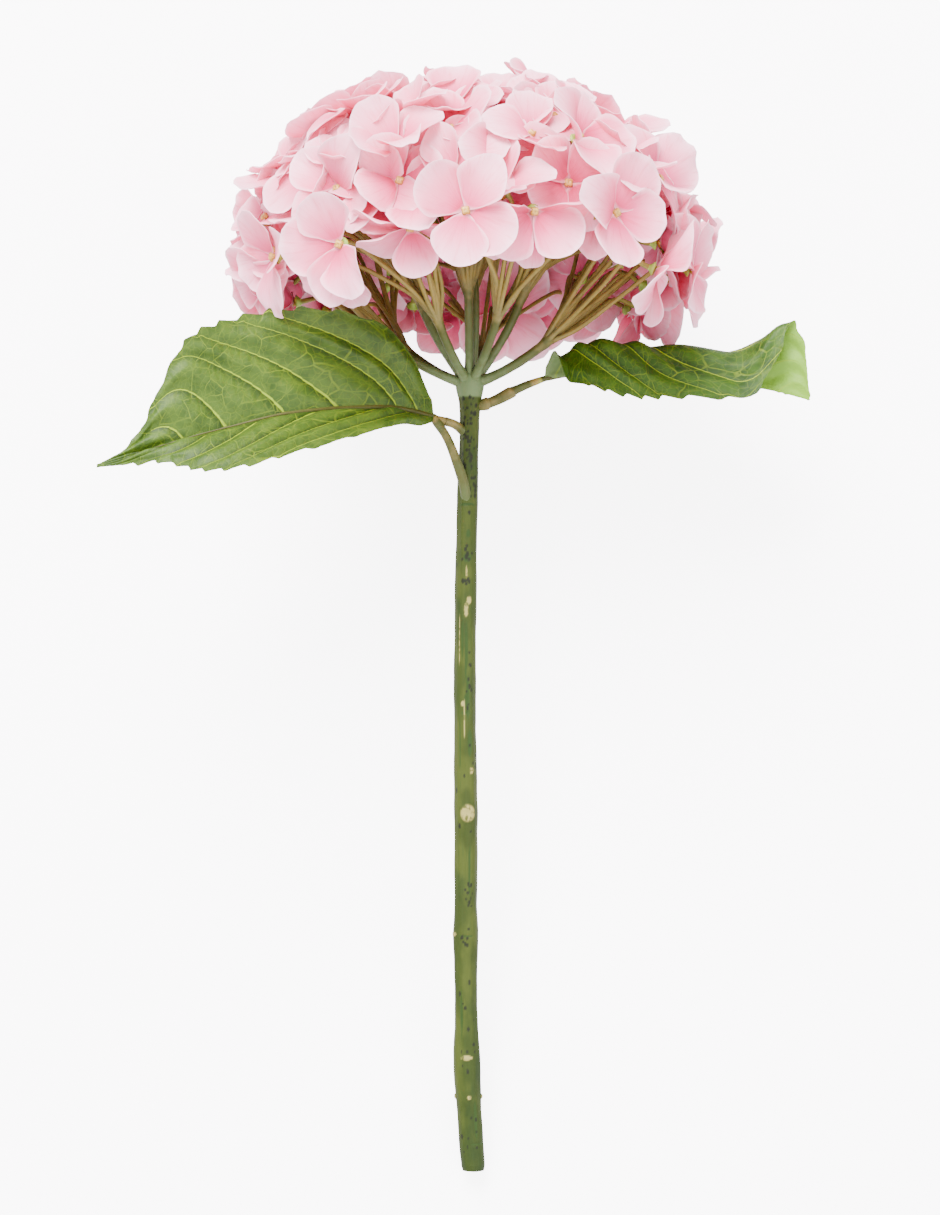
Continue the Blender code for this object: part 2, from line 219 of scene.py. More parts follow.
floor_mesh = bpy.data.meshes.new("table")
corners = [(x * TABLE_REACH, y * TABLE_REACH, 0) for x, y in ((-1, -1), (1, -1), (1, 1), (-1, 1))]
floor_mesh.from_pydata(corners, [], [(0, 1, 2, 3)])
table = bpy.data.objects.new("table", floor_mesh)
table.location.z = -0.5 * MM
bpy.context.collection.objects.link(table)
table_paint, table_tree, table_shader = new_finish("white studio table", 0.9, 0.1)
table_shader.inputs["Base Color"].default_value = paint("#cfcdcf")
table_shader.inputs["Emission Color"].default_value = paint("#fdfbfd")
# The table looks overexposed, as a white sweep does, but sends no extra light up to the flower.
seen = add(table_tree, "ShaderNodeLightPath").outputs["Is Camera Ray"]
glow = calc(table_tree, "MULTIPLY", seen, TABLE_GLOW)
table_tree.links.new(glow, table_shader.inputs["Emission Strength"])
floor_mesh.materials.append(table_paint)

for name, place, aim, side, power in SOFT_BOXES:
    lamp = bpy.data.lights.new(name, "AREA")
    lamp.size = side
    lamp.energy = power
    box = bpy.data.objects.new(name, lamp)
    box.location = place
    box.rotation_euler = (Vector(aim) - Vector(place)).to_track_quat("-Z", "Y").to_euler()
    bpy.context.collection.objects.link(box)

sky = bpy.data.worlds.new("white studio")
sky.use_nodes = True
sky_shader = sky.node_tree.nodes["Background"]
sky_shader.inputs["Color"].default_value = paint("#fbfafc")
seen = add(sky.node_tree, "ShaderNodeLightPath").outputs["Is Camera Ray"]
strength = calc(sky.node_tree, "MULTIPLY_ADD", seen, SKY_GLOW, SKY_LIGHT)
sky.node_tree.links.new(strength, sky_shader.inputs["Strength"])
bpy.context.scene.world = sky
print("camera at", [round(c, 3) for c in camera.matrix_world.translation])

# %% [markdown]
# ## The sepal's finish
# A hydrangea's petals are really sepals: thin, matt and a little translucent, so light that
# falls on the back glows through. The colour is strongest in the throat and fades to the rim,
# with fine veins that fan out from the base. The sepal's own UV map says how far along and
# across a point lies, so the pattern follows every bend. A Translucent shader mixed into the
# Principled one lets light through without the cost of scattering it inside.

# %% Sepal, bead and calyx finishes


def ramp(tree, share, *stops):
    """The colour of a Color Ramp with (position, hex colour) stops."""
    node = add(tree, "ShaderNodeValToRGB", i0=share)
    elements = node.color_ramp.elements
    while len(elements) < len(stops):
        elements.new(0.5)
    for element, (position, colour) in zip(elements, stops):
        element.position = position
        element.color = paint(colour)
    return node.outputs["Color"]


def blend_colours(tree, share, first, second, mode="MIX"):
    """first and second are hex colours or sockets; share is how much of the second shows."""
    settings = {"data_type": "RGBA", "blend_type": mode}
    first, second = (paint(c) if isinstance(c, str) else c for c in (first, second))
    node = add(tree, "ShaderNodeMix", settings, i0=share, i6=first, i7=second)
    return node.outputs[2]


def object_noise(tree, scale, detail=2.0, stretch=(1.0, 1.0, 1.0)):
    """Noise that stays with the flower; a stretch below 1 draws it out along that axis."""
    where = add(tree, "ShaderNodeTexCoord").outputs["Object"]
    where = add(tree, "ShaderNodeMapping", Vector=where, Scale=stretch).outputs[0]
    return add(tree, "ShaderNodeTexNoise", Vector=where, Scale=scale, Detail=detail).outputs["Fac"]


def give_colour(tree, shader, colour, through=0.0):
    """Lead the colour to the shader; through is the share of the light that passes thin tissue."""
    tree.links.new(colour, shader.inputs["Base Color"])
    if through:
        glow = add(tree, "ShaderNodeBsdfTranslucent", Color=colour)
        mix = add(tree, "ShaderNodeMixShader", i0=through, i1=shader.outputs[0], i2=glow.outputs[0])
        tree.links.new(mix.outputs[0], tree.nodes["Material Output"].inputs["Surface"])


def bump(tree, shader, height, distance, strength=1.0):
    """Let the surface catch the light as if this height, a share of the distance, stood out."""
    node = add(tree, "ShaderNodeBump", Height=height, Distance=distance, Strength=strength)
    tree.links.new(node.outputs["Normal"], shader.inputs["Normal"])


def sepal_finish():
    """Fresh sepal: matt and soft, deeper pink in the throat, with a painted highlight that turns the rim
    almost white.
    """
    material, tree, shader = new_finish("fresh pink sepal", 0.62, 0.3)
    uv = add(tree, "ShaderNodeUVMap", {"uv_map": "blade"}).outputs[0]
    across, along, _ = add(tree, "ShaderNodeSeparateXYZ", i0=uv).outputs
    tint = mark(tree, "tint")
    side = calc(tree, "ABSOLUTE", calc(tree, "MULTIPLY_ADD", across, 2.0, -1.0))
    # Patchiness of about 6 mm, so that no two sepals fade alike.
    patches = object_noise(tree, 160.0)
    fade = calc(tree, "MULTIPLY_ADD", calc(tree, "POWER", side, 2.0), 0.12, along)
    fade = calc(tree, "MULTIPLY_ADD", calc(tree, "SUBTRACT", patches, 0.5), 0.22, fade)
    fade = calc(tree, "MULTIPLY_ADD", calc(tree, "SUBTRACT", tint, 0.5), 0.45, fade)
    colour = ramp(tree, fade, (0.0, "#d0305e"), (0.14, "#e44c7d"), (0.34, "#f0709a"),
                  (0.62, "#f99ab7"), (0.92, "#fdc0d4"))
    # Veins fan out from the base about 0.8 mm apart.
    fan = add(tree, "ShaderNodeCombineXYZ", X=calc(tree, "MULTIPLY", across, 26.0),
              Y=calc(tree, "MULTIPLY", along, 2.2), Z=calc(tree, "MULTIPLY", tint, 9.0)).outputs[0]
    veins = add(tree, "ShaderNodeTexNoise", Vector=fan, Scale=1.0, Detail=3.0, Roughness=0.6)
    veins = veins.outputs["Fac"]
    line = add(tree, "ShaderNodeMapRange", Value=veins, i1=0.5, i2=0.78).outputs[0]
    line = calc(tree, "MULTIPLY", line, 0.5)
    colour = blend_colours(tree, line, colour, "#e78ba0", "MULTIPLY")
    # Painted highlight: the thin rim is blended towards almost white, as if it caught the light.
    edge = mark(tree, "rim")
    pale = add(tree, "ShaderNodeMapRange", i0=edge, i1=0.8, i2=1.0, i3=0.0, i4=0.6).outputs[0]
    colour = blend_colours(tree, pale, colour, "#fde2ec")
    bump(tree, shader, veins, 0.25 * MM, 0.6)
    shader.inputs["Sheen Weight"].default_value = 0.12
    give_colour(tree, shader, colour, 0.36)
    return material


def bead_finish():
    """The unopened bud in the middle: waxy, grained ochre, with a small highlight."""
    material, tree, shader = new_finish("waxy ochre bead", 0.42)
    grains = object_noise(tree, 900.0)
    give_colour(tree, shader, ramp(tree, grains, (0.3, "#8f6f22"), (0.5, "#b08434"), (0.7, "#cba456")))
    bump(tree, shader, grains, 0.2 * MM)
    return material


def calyx_finish():
    """The cup behind the sepals: young yellow-green tissue, satin."""
    material, tree, shader = new_finish("young green calyx", 0.5)
    give_colour(tree, shader, ramp(tree, object_noise(tree, 400.0), (0.35, "#7f9a2e"), (0.65, "#a3bb50")))
    return material


SEPAL_FINISH, BEAD_FINISH, CALYX_FINISH = sepal_finish(), bead_finish(), calyx_finish()
print("made", len(bpy.data.materials), "finishes so far")

# %% [markdown]
# ## One sepal
# A sepal is a broad spoon: a narrow claw, widest past the middle, a round end. It could be
# sculpted, but a sheet bent by a few numbers is easy to vary. A square grid is first rounded to
# a disc, so that the edge is smooth all the way round, and then narrowed towards the claw. Curl
# bends it along its length, cup bends it across, ruffle waves its edge. A back and a thin rim
# make it a closed body. Six shapes are made, and the florets draw from them.

# %% Model six sepals
SEPAL_STEPS = 9
SMALL_SEPAL_STEPS = 6  # for the inner florets, of which there are many
SEPAL_SHAPES = (
    # curl, cup, ruffle, phase of the ruffle, width, point at the tip
    (0.14, 0.12, 0.045, 0.0, 1.04, 0.00),
    (-0.22, 0.20, 0.055, 1.3, 0.98, 0.08),
    (0.34, 0.08, 0.050, 2.6, 1.10, 0.00),
    (-0.40, 0.12, 0.060, 3.8, 1.06, 0.03),
    (0.04, 0.32, 0.035, 5.1, 0.96, 0.12),
    (0.22, -0.12, 0.065, 0.7, 1.12, 0.00),
)
SEPAL_THICKNESS = 0.022  # in the middle, as a share of its length


def sepal_sheet(steps, curl, cup, ruffle, phase, width, point):
    """Grid points of a sepal one unit long, and how near each is to the rim.

    x runs across, y along, and z is the way the sepal faces.
    """
    line = np.linspace(-1, 1, steps)
    u, v = np.meshgrid(line, line)
    x = u * np.sqrt(1 - v**2 / 2)
    y = 0.5 + 0.5 * v * np.sqrt(1 - u**2 / 2)
    x = 0.5 * x * width * (0.44 + 0.56 * smooth_step(-0.05, 0.55, y))
    y = y + point * (1 - np.abs(x) * 2) * smooth_step(0.7, 1, y)
    rim = np.maximum(np.abs(u), np.abs(v))
    wave = np.sin(11 * x * (0.5 + y) + phase) * 0.6 + np.sin(8 * y + phase * 2 + 3 * x) * 0.5
    z = curl * y**2 + 3 * cup * x**2 + 0.03 * np.sin(math.pi * y)
    z = z + ruffle * wave * smooth_step(0.3, 1.0, rim) * smooth_step(0.1, 0.5, y)
    return np.stack([x, y, z], -1), rim


def sheet_normals(sheet):
    """The direction in which a grid of points faces, at every point."""
    normal = np.cross(np.gradient(sheet, axis=1), np.gradient(sheet, axis=0))
    return normal / (np.linalg.norm(normal, axis=-1, keepdims=True) + 1e-12)


def sheet_mesh(name, sheet, uv, thickness, **marks):
    """A closed body from a grid of points: a face, a back and a thin rim.

    uv becomes the map "blade"; the mark "face" is 1 on the face and 0 on the back.
    """
    rows, columns = sheet.shape[:2]
    half = sheet_normals(sheet) * thickness[..., None] / 2
    points = np.concatenate([(sheet + half).reshape(-1, 3), (sheet - half).reshape(-1, 3)])
    back = rows * columns
    faces = []
    for r in range(rows - 1):
        for c in range(columns - 1):
            a, b = r * columns + c, (r + 1) * columns + c
            faces.append((a, a + 1, b + 1, b))
            faces.append((back + a, back + b, back + b + 1, back + a + 1))
    edge = list(range(columns - 1)) + [r * columns + columns - 1 for r in range(rows - 1)]
    edge += [(rows - 1) * columns + c for c in range(columns - 1, 0, -1)]
    edge += [r * columns for r in range(rows - 1, 0, -1)]
    for a, b in zip(edge, edge[1:] + edge[:1]):
        faces.append((b, a, back + a, back + b))
    mesh = bpy.data.meshes.new(name)
    mesh.from_pydata(points.tolist(), [], faces)
    uv = np.concatenate([uv.reshape(-1, 2)] * 2)[corner_points(mesh)]
    mesh.uv_layers.new(name="blade").data.foreach_set("uv", uv.ravel())
    both = {label: [values] * 2 for label, values in marks.items()}
    set_marks(mesh, **both, face=[np.ones(back), np.zeros(back)])
    shade_soft(mesh)
    return mesh


def sepal_models(name, steps):
    """A collection that holds the six sepals."""
    models = bpy.data.collections.new(name)
    for number, shape in enumerate(SEPAL_SHAPES):
        sheet, rim = sepal_sheet(steps, *shape)
        # The map fans out from a point a little behind the claw.
        across, along = sheet[..., 0], sheet[..., 1]
        fan = np.stack([0.5 + np.arctan2(across, along + 0.12) / 1.6, along], -1)
        thick = SEPAL_THICKNESS * (1 - 0.6 * rim**3)
        sepal = sheet_mesh(f"{name}_{number}", sheet, fan, thick, rim=rim)
        models.objects.link(bpy.data.objects.new(sepal.name, sepal))
    return models


outer_sepals = sepal_models("outer_sepal", SEPAL_STEPS)
inner_sepals = sepal_models("inner_sepal", SMALL_SEPAL_STEPS)

# %% [markdown]
# ## Bead and calyx
# In the middle of each floret sits a bud of four folded petals, and behind the sepals a small
# cup holds them to the stalk. Both are turned shapes, so one function turns a profile round the
# z axis, and the bead's radius swells four times on the way round.

# %% Turn the bead and the calyx


def turned(name, profile, sides, lobes=0.0):
    """A closed turned body from (radius, height) pairs in mm; lobes swells it four times round."""
    shape = bmesh.new()
    rings = []
    for radius, height in profile:
        ring = []
        for n in range(sides):
            turn = 2 * math.pi * n / sides
            wide = radius * (1 + lobes * math.cos(4 * turn))
            x, y = wide * math.cos(turn), wide * math.sin(turn)
            ring.append(shape.verts.new((x * MM, y * MM, height * MM)))
        rings.append(ring)
    for low, high in zip(rings, rings[1:]):
        for n in range(sides):
            m = (n + 1) % sides
            shape.faces.new((low[n], low[m], high[m], high[n]))
    shape.faces.new(reversed(rings[0]))
    shape.faces.new(rings[-1])
    mesh = bpy.data.meshes.new(name)
    shape.to_mesh(mesh)
    shape.free()
    mesh.shade_smooth()
    return bpy.data.objects.new(name, mesh)


BEAD_PROFILE = ((0.7, -0.6), (1.25, 0.0), (1.45, 0.6), (1.35, 1.2), (0.95, 1.7), (0.35, 1.75),
                (0.1, 1.5))
CALYX_PROFILE = ((0.75, -3.2), (1.0, -2.6), (1.3, -2.1), (2.0, -1.6), (2.4, -1.1), (1.6, -0.7))
bead = turned("bead", BEAD_PROFILE, 16, 0.16)
calyx = turned("calyx", CALYX_PROFILE, 12)
print("bead of", len(bead.data.polygons), "faces, calyx of", len(calyx.data.polygons))

# %% [markdown]
# ## Growing things with Geometry Nodes
# A floret is four sepals set round a middle, and that is what Geometry Nodes do well: points in,
# a sepal on every point, a little noise so that no two are alike. Each point says how its sepal
# is turned, tilted, rolled and scaled. The tree is built here once and run for every floret,
# then the result is kept as a plain mesh.

# %% Helpers to build a tree and to run it


def new_tree(name, *inputs):
    """(a geometry node tree, its input sockets by name) from (name, socket type, default) inputs."""
    tree = bpy.data.node_groups.new(name, "GeometryNodeTree")
    tree.interface.new_socket("Geometry", in_out="INPUT", socket_type="NodeSocketGeometry")
    tree.interface.new_socket("Geometry", in_out="OUTPUT", socket_type="NodeSocketGeometry")
    for label, kind, default in inputs:
        socket = tree.interface.new_socket(label, in_out="INPUT", socket_type="NodeSocket" + kind)
        socket.default_value = default
    return tree, tree.nodes.new("NodeGroupInput").outputs


def end_tree(tree, *branches):
    """Join the branches, (geometry, material socket or material), and lead them to the output."""
    join = add(tree, "GeometryNodeJoinGeometry")
    for geometry, finish in branches:
        real = add(tree, "GeometryNodeRealizeInstances", i0=geometry).outputs[0]
        done = add(tree, "GeometryNodeSetMaterial", Geometry=real, Material=finish)
        tree.links.new(done.outputs[0], join.inputs[0])
    end = tree.nodes.new("NodeGroupOutput")
    tree.links.new(join.outputs[0], end.inputs[0])


def named(tree, attribute):
    """A number that the points carry."""
    settings = {"data_type": "FLOAT"}
    return add(tree, "GeometryNodeInputNamedAttribute", settings, Name=attribute).outputs[0]


def run_tree(tree, name, mesh, **values):
    """The plain mesh that the tree makes of this one. A name's underscores stand for spaces."""
    maker = bpy.data.objects.new(name, mesh)
    bpy.context.collection.objects.link(maker)
    modifier = maker.modifiers.new(tree.name, "NODES")
    modifier.node_group = tree
    for item in tree.interface.items_tree:
        key = item.name.replace(" ", "_")
        if item.in_out == "INPUT" and key in values:
            modifier[item.identifier] = values[key]
    graph = bpy.context.evaluated_depsgraph_get()
    made = bpy.data.meshes.new_from_object(maker.evaluated_get(graph), depsgraph=graph)
    made.name = name
    bpy.data.objects.remove(maker)
    return made


def point_mesh(name, points, edges=(), **marks):
    """Loose points, or lines of points, that carry float attributes."""
    mesh = bpy.data.meshes.new(name)
    mesh.from_pydata([tuple(p) for p in points], list(edges), [])
    set_marks(mesh, **marks)
    return mesh


# %% [markdown]
# ## The floret tree
# The mesh that goes in has one point for each sepal, and the point's own numbers say which sepal
# it gets and how it is held. Placing four copies by hand would do for one floret; the tree does
# it for all of them, and its named inputs, length, ruffle and seed, make each one different.

# %% Build the floret tree


def make_floret_tree():
    """Four sepals on four points, with waved rims, round a bead and over a calyx."""
    tree, given = new_tree(
        "floret", ("Sepals", "Collection", outer_sepals), ("Length", "Float", SEPAL_LENGTH),
        ("Ruffle", "Float", 1.4 * MM), ("Seed", "Float", 0.0))
    shapes = add(tree, "GeometryNodeCollectionInfo", Collection=given["Sepals"],
                 Separate_Children=True, Reset_Children=True).outputs[0]
    turns = add(tree, "ShaderNodeCombineXYZ",
                X=named(tree, "tilt"), Y=named(tree, "roll"), Z=named(tree, "turn"))
    turns = add(tree, "FunctionNodeEulerToRotation", Euler=turns.outputs[0]).outputs[0]
    length = calc(tree, "MULTIPLY", named(tree, "reach"), given["Length"])
    sepals = add(tree, "GeometryNodeInstanceOnPoints", Points=given["Geometry"], Instance=shapes,
                 Pick_Instance=True, Instance_Index=named(tree, "shape"), Rotation=turns, Scale=length)
    sepals = add(tree, "GeometryNodeRealizeInstances", i0=sepals.outputs[0]).outputs[0]
    # The rim waves by noise about 9 mm from crest to crest, and the seed makes every floret's own.
    where = add(tree, "GeometryNodeInputPosition").outputs[0]
    wander = add(tree, "ShaderNodeTexNoise", {"noise_dimensions": "4D"}, Vector=where,
                 W=given["Seed"], Scale=110.0, Detail=1.0).outputs["Color"]
    wander = add(tree, "ShaderNodeVectorMath", {"operation": "SUBTRACT"}, i0=wander, i1=(0.5, 0.5, 0.5))
    much = calc(tree, "MULTIPLY", calc(tree, "POWER", named(tree, "rim"), 2.0), given["Ruffle"])
    push = add(tree, "ShaderNodeVectorMath", {"operation": "SCALE"}, i0=wander.outputs[0], Scale=much)
    sepals = add(tree, "GeometryNodeSetPosition", Geometry=sepals, Offset=push.outputs[0]).outputs[0]
    middle = add(tree, "GeometryNodeObjectInfo", Object=bead).outputs["Geometry"]
    cup = add(tree, "GeometryNodeObjectInfo", Object=calyx).outputs["Geometry"]
    end_tree(tree, (sepals, SEPAL_FINISH), (middle, BEAD_FINISH), (cup, CALYX_FINISH))
    return tree


floret_tree = make_floret_tree()
print("the floret tree has", len(floret_tree.nodes), "nodes")

# %% [markdown]
# ## The florets of the head
# Every CAD floret gets a fine one at its place. How far it has opened, and how each sepal is
# tilted, rolled and turned, is drawn at random from its own seed, so that the head comes out the
# same each time. A few sepals stand apart in a way of their own: those are written in a table.

# %% Grow the florets
PRESSED_HEIGHT = 3 * MM  # below this, sepals bend flat against the table
# Sepals that stand apart: floret number, then sepal: (tilt, roll, extra turn in degrees, shape).
FOLDS = {
    1: {0: (6, 6, 0, 0), 1: (10, -8, 0, 4), 2: (6, 6, 0, 2), 3: (4, -6, 22, 0)},
    2: {0: (16, 60, -30, 1), 1: (16, -60, 34, 1), 2: (2, 0, -4, 0), 3: (4, 0, 6, 2)},
    3: {0: (10, 0, 12, 0), 1: (4, 0, -10, 0), 2: (34, 0, 0, 1), 3: (6, 0, 0, 2)},
    4: {0: (38, 12, -78, 1), 1: (12, 0, 0, 0), 2: (6, 0, -22, 2), 3: (2, -14, -34, 4)},
    6: {2: (52, 0, 10, 1)},
    7: {0: (20, 58, -26, 1), 1: (20, -58, 30, 1), 2: (20, -58, -24, 1), 3: (4, 0, -26, 0)},
    8: {0: (55, 10, 0, 1)},
    10: {3: (48, -10, 0, 1)},
    11: {2: (52, 0, -12, 1)},
    13: {0: (4, 0, 0, 0), 1: (6, 0, 0, 4), 2: (4, 0, 0, 0), 3: (8, 0, 0, 2)},
    16: {3: (-48, 0, 0, 2), 2: (-20, 0, 0, 2)},
    40: {0: (40, 0, 0, 1), 1: (30, 0, 0, 1), 2: (-35, 0, 0, 2), 3: (-35, 0, 0, 2)},
}
# Florets moved a little against their CAD solid: number, (deeper by, size, higher by), in mm.
SHY = {7: (1, 0.85, 6), 9: (3, 0.92, 0), 10: (2, 0.88, 0), 13: (4, 0.95, 0), 16: (5, 0.75, 3),
       19: (4, 0.85, -1), 34: (4, 0.9, 0), 40: (14, 0.6, 5), 42: (3, 0.9, 0), 43: (4, 0.85, 0),
       44: (3, 0.85, 3), 45: (6, 0.75, 3)}
VISIBLE_SIZE = 0.93  # a grown floret against its CAD solid, which is a round plate
OPENING = (2, 20)  # degrees by which a floret's sepals rise, from its flattest to its most closed
CLAW = 0.6 * MM  # from the floret's axis to where a sepal begins
PAIR_HEIGHTS = (-0.25 * MM, 0.35 * MM)  # two sepals lie under the other two
FIRST_SEED = 500


def direction(azimuth, elevation):
    """azimuth runs from +Z, the viewer's side, towards +X; elevation is up the plant."""
    azimuth, elevation = math.radians(azimuth), math.radians(elevation)
    level = math.cos(elevation)
    return Vector((level * math.sin(azimuth), math.sin(elevation), level * math.cos(azimuth)))


def press_on_table(mesh):
    """Sepals that would reach below the table are pressed flat on it."""
    points = np.zeros(len(mesh.vertices) * 3)
    mesh.vertices.foreach_get("co", points)
    points = points.reshape(-1, 3)
    low = points[:, 2] < PRESSED_HEIGHT
    points[low, 2] = PRESSED_HEIGHT * np.exp(points[low, 2] / PRESSED_HEIGHT - 1)
    mesh.vertices.foreach_set("co", points.ravel())


def grow_floret(name, place, size, number, sepals=outer_sepals):
    """The mesh of one floret, laid at its place with the whole flower."""
    rng = random.Random(FIRST_SEED + number)
    opening = rng.uniform(*OPENING)
    tone = rng.uniform(0.25, 0.75)
    points, rows = [], []
    for sepal in range(4):
        usual = (opening + rng.uniform(-12, 12), rng.uniform(-16, 16), rng.uniform(-7, 7),
                 rng.randrange(len(SEPAL_SHAPES)))
        tilt, roll, extra, shape = FOLDS.get(number, {}).get(sepal, usual)
        turn = math.radians(90 * sepal + extra)
        points.append((-CLAW * math.sin(turn), CLAW * math.cos(turn), PAIR_HEIGHTS[sepal % 2]))
        reach = size * rng.uniform(0.92, 1.1)
        tint = min(1, max(0, tone + rng.uniform(-0.2, 0.2)))
        rows.append((turn, math.radians(tilt), math.radians(roll), reach, shape, tint))
    marks = dict(zip(("turn", "tilt", "roll", "reach", "shape", "tint"), zip(*rows)))
    source = point_mesh(name, points, **marks)
    mesh = run_tree(floret_tree, name, source, Seed=number * 3.7, Sepals=sepals)
    mesh.transform(LAY_DOWN @ place)
    press_on_table(mesh)
    return mesh


for number, (depth, share, rise) in SHY.items():
    place, size = florets[number - 1]
    place = Matrix.Translation((0, rise * MM, 0)) @ place @ Matrix.Translation((0, 0, -depth * MM))
    florets[number - 1] = (place, size * share)
for number, (node, (place, size)) in enumerate(zip(floret_nodes, florets), 1):
    grown = grow_floret(f"bloom_{number:02d}", place, size * VISIBLE_SIZE, number)
    add_piece(f"bloom_{number:02d}", grown, "sepal", node)
print(len(pieces), "florets stand for CAD solids")

# %% [markdown]
# ## Inner florets
# A real head is denser than its outer florets: younger ones sit deeper and close the gaps, and
# at the bottom the oldest can only be seen between the others. Their sites are found by trying
# many directions and taking, each time, the one that is farthest from everything already there.
# They are built from sepals with fewer faces, because so little of them shows.

# %% Grow the inner florets
HEAD_RADIUS = 74 * MM
HEAD_HALF_HEIGHT = 56 * MM
HEAD_CENTRE = Vector((0, 42 * MM, 0))
INNER_FLORETS = 84  # just under the outer florets
INNER_DEPTH = 7 * MM
INNER_SIZE = 0.76
DEEP_FLORETS = 36  # the lowest layer, seen only through the gaps
DEEP_DEPTH = 17 * MM
DEEP_SIZE = 0.95
FIRST_INNER_NUMBER = 100
TRIES = 200  # directions tried for each site
OPEN_FRONT = 70  # to this azimuth, the stalks show below the head and no floret hides them
FRONT_LOWEST, BACK_LOWEST = 14, -13  # lowest elevation of a site there, and elsewhere


def inner_places(count, depth, taken, seed):
    """Places in the plant frame under the head's surface, far from those already taken."""
    rng = random.Random(seed)
    radii = Vector((HEAD_RADIUS, HEAD_HALF_HEIGHT, HEAD_RADIUS))
    found = []
    while len(found) < count:
        best = None
        for _ in range(TRIES):
            azimuth = rng.uniform(-180, 180)
            lowest = FRONT_LOWEST if abs(azimuth) < OPEN_FRONT else BACK_LOWEST
            # Evenly drawn heights give evenly spread points on a ball.
            height = rng.uniform(math.sin(math.radians(lowest)), 1)
            out = direction(azimuth, math.degrees(math.asin(height)))
            spot = HEAD_CENTRE + out * (radii * out).length
            room = min((spot - other).length for other in taken)
            if best is None or room > best[0]:
                best = (room, spot)
        spot = best[1]
        taken.append(spot)
        out = Vector([c / r**2 for c, r in zip(spot - HEAD_CENTRE, radii)]).normalized()
        out = (out + Vector([rng.uniform(-0.38, 0.38) for _ in range(3)])).normalized()
        facing = out.to_track_quat("Z", "Y").to_matrix().to_4x4()
        facing = facing @ Matrix.Rotation(rng.uniform(0, 1.57), 4, "Z")
        found.append(Matrix.Translation(spot - out * depth * rng.uniform(0.6, 1.4)) @ facing)
    return found


outer_spots = [place.translation.copy() for place, _ in florets]
inner = [(place, INNER_SIZE) for place in inner_places(INNER_FLORETS, INNER_DEPTH, outer_spots, 3)]
middle_spot = [HEAD_CENTRE.copy()]  # the deep layer spreads without regard to the others
inner += [(place, DEEP_SIZE) for place in inner_places(DEEP_FLORETS, DEEP_DEPTH, middle_spot, 8)]
for number, (place, size) in enumerate(inner, 1):
    seed = FIRST_INNER_NUMBER + number
    grown = grow_floret(f"inner_bloom_{number:02d}", place, size, seed, inner_sepals)
    add_piece(f"inner_bloom_{number:02d}", grown, "sepal")
print(len(pieces), "florets,", sum(len(p.data.polygons) for p in pieces), "faces")

# %% [markdown]
# ## Finishes of the green parts
# Stalks, stem and leaves are living tissue with a thin wax, so they are satin, not glossy. Each
# surface carries numbers that say where on the plant it lies: a stalk knows its age from hub to
# floret, the stem its height, specks and scars, a leaf its veins. The nodes turn those numbers
# into colour.

# %% Stalk, stem and leaf finishes


def band(tree, value, low, high, start=0.0, end=1.0):
    """A smooth step: start below low, end above high."""
    settings = {"interpolation_type": "SMOOTHSTEP"}
    limits = {"i1": low, "i2": high, "i3": start, "i4": end}
    return add(tree, "ShaderNodeMapRange", settings, i0=value, **limits).outputs[0]


def cover(tree, colour, *layers):
    """Lay (share, hex colour) layers over a colour, one after another."""
    for share, tone in layers:
        colour = blend_colours(tree, share, colour, tone)
    return colour


def stalk_finish():
    """Waxy young stalk: grey green at the hub, tan where it forks, olive up to the floret."""
    material, tree, shader = new_finish("waxy olive stalk", 0.5, 0.22)
    age = mark(tree, "age")
    patches = calc(tree, "SUBTRACT", object_noise(tree, 240.0), 0.5)
    patched = calc(tree, "MULTIPLY_ADD", patches, 0.35, age)
    colour = ramp(tree, patched, (0.0, "#56643f"), (0.2, "#414c26"), (0.4, "#3c3e14"), (0.52, "#695d31"),
                  (0.62, "#75632e"), (0.85, "#806c31"), (1.0, "#807e34"))
    # Fibres run lengthwise, a few tenths of a millimetre apart. Under a leaf blade the age is
    # past 1, and the midrib is a dark olive.
    fibres = object_noise(tree, 900.0, 3.0, (1.0, 0.12, 1.0))
    colour = cover(tree, colour, (band(tree, age, 1.05, 1.2), "#37380e"),
                   (band(tree, fibres, 0.45, 0.75, 0.0, 0.35), "#4a451c"))
    give_colour(tree, shader, colour)
    bump(tree, shader, fibres, 0.15 * MM, 0.6)
    return material


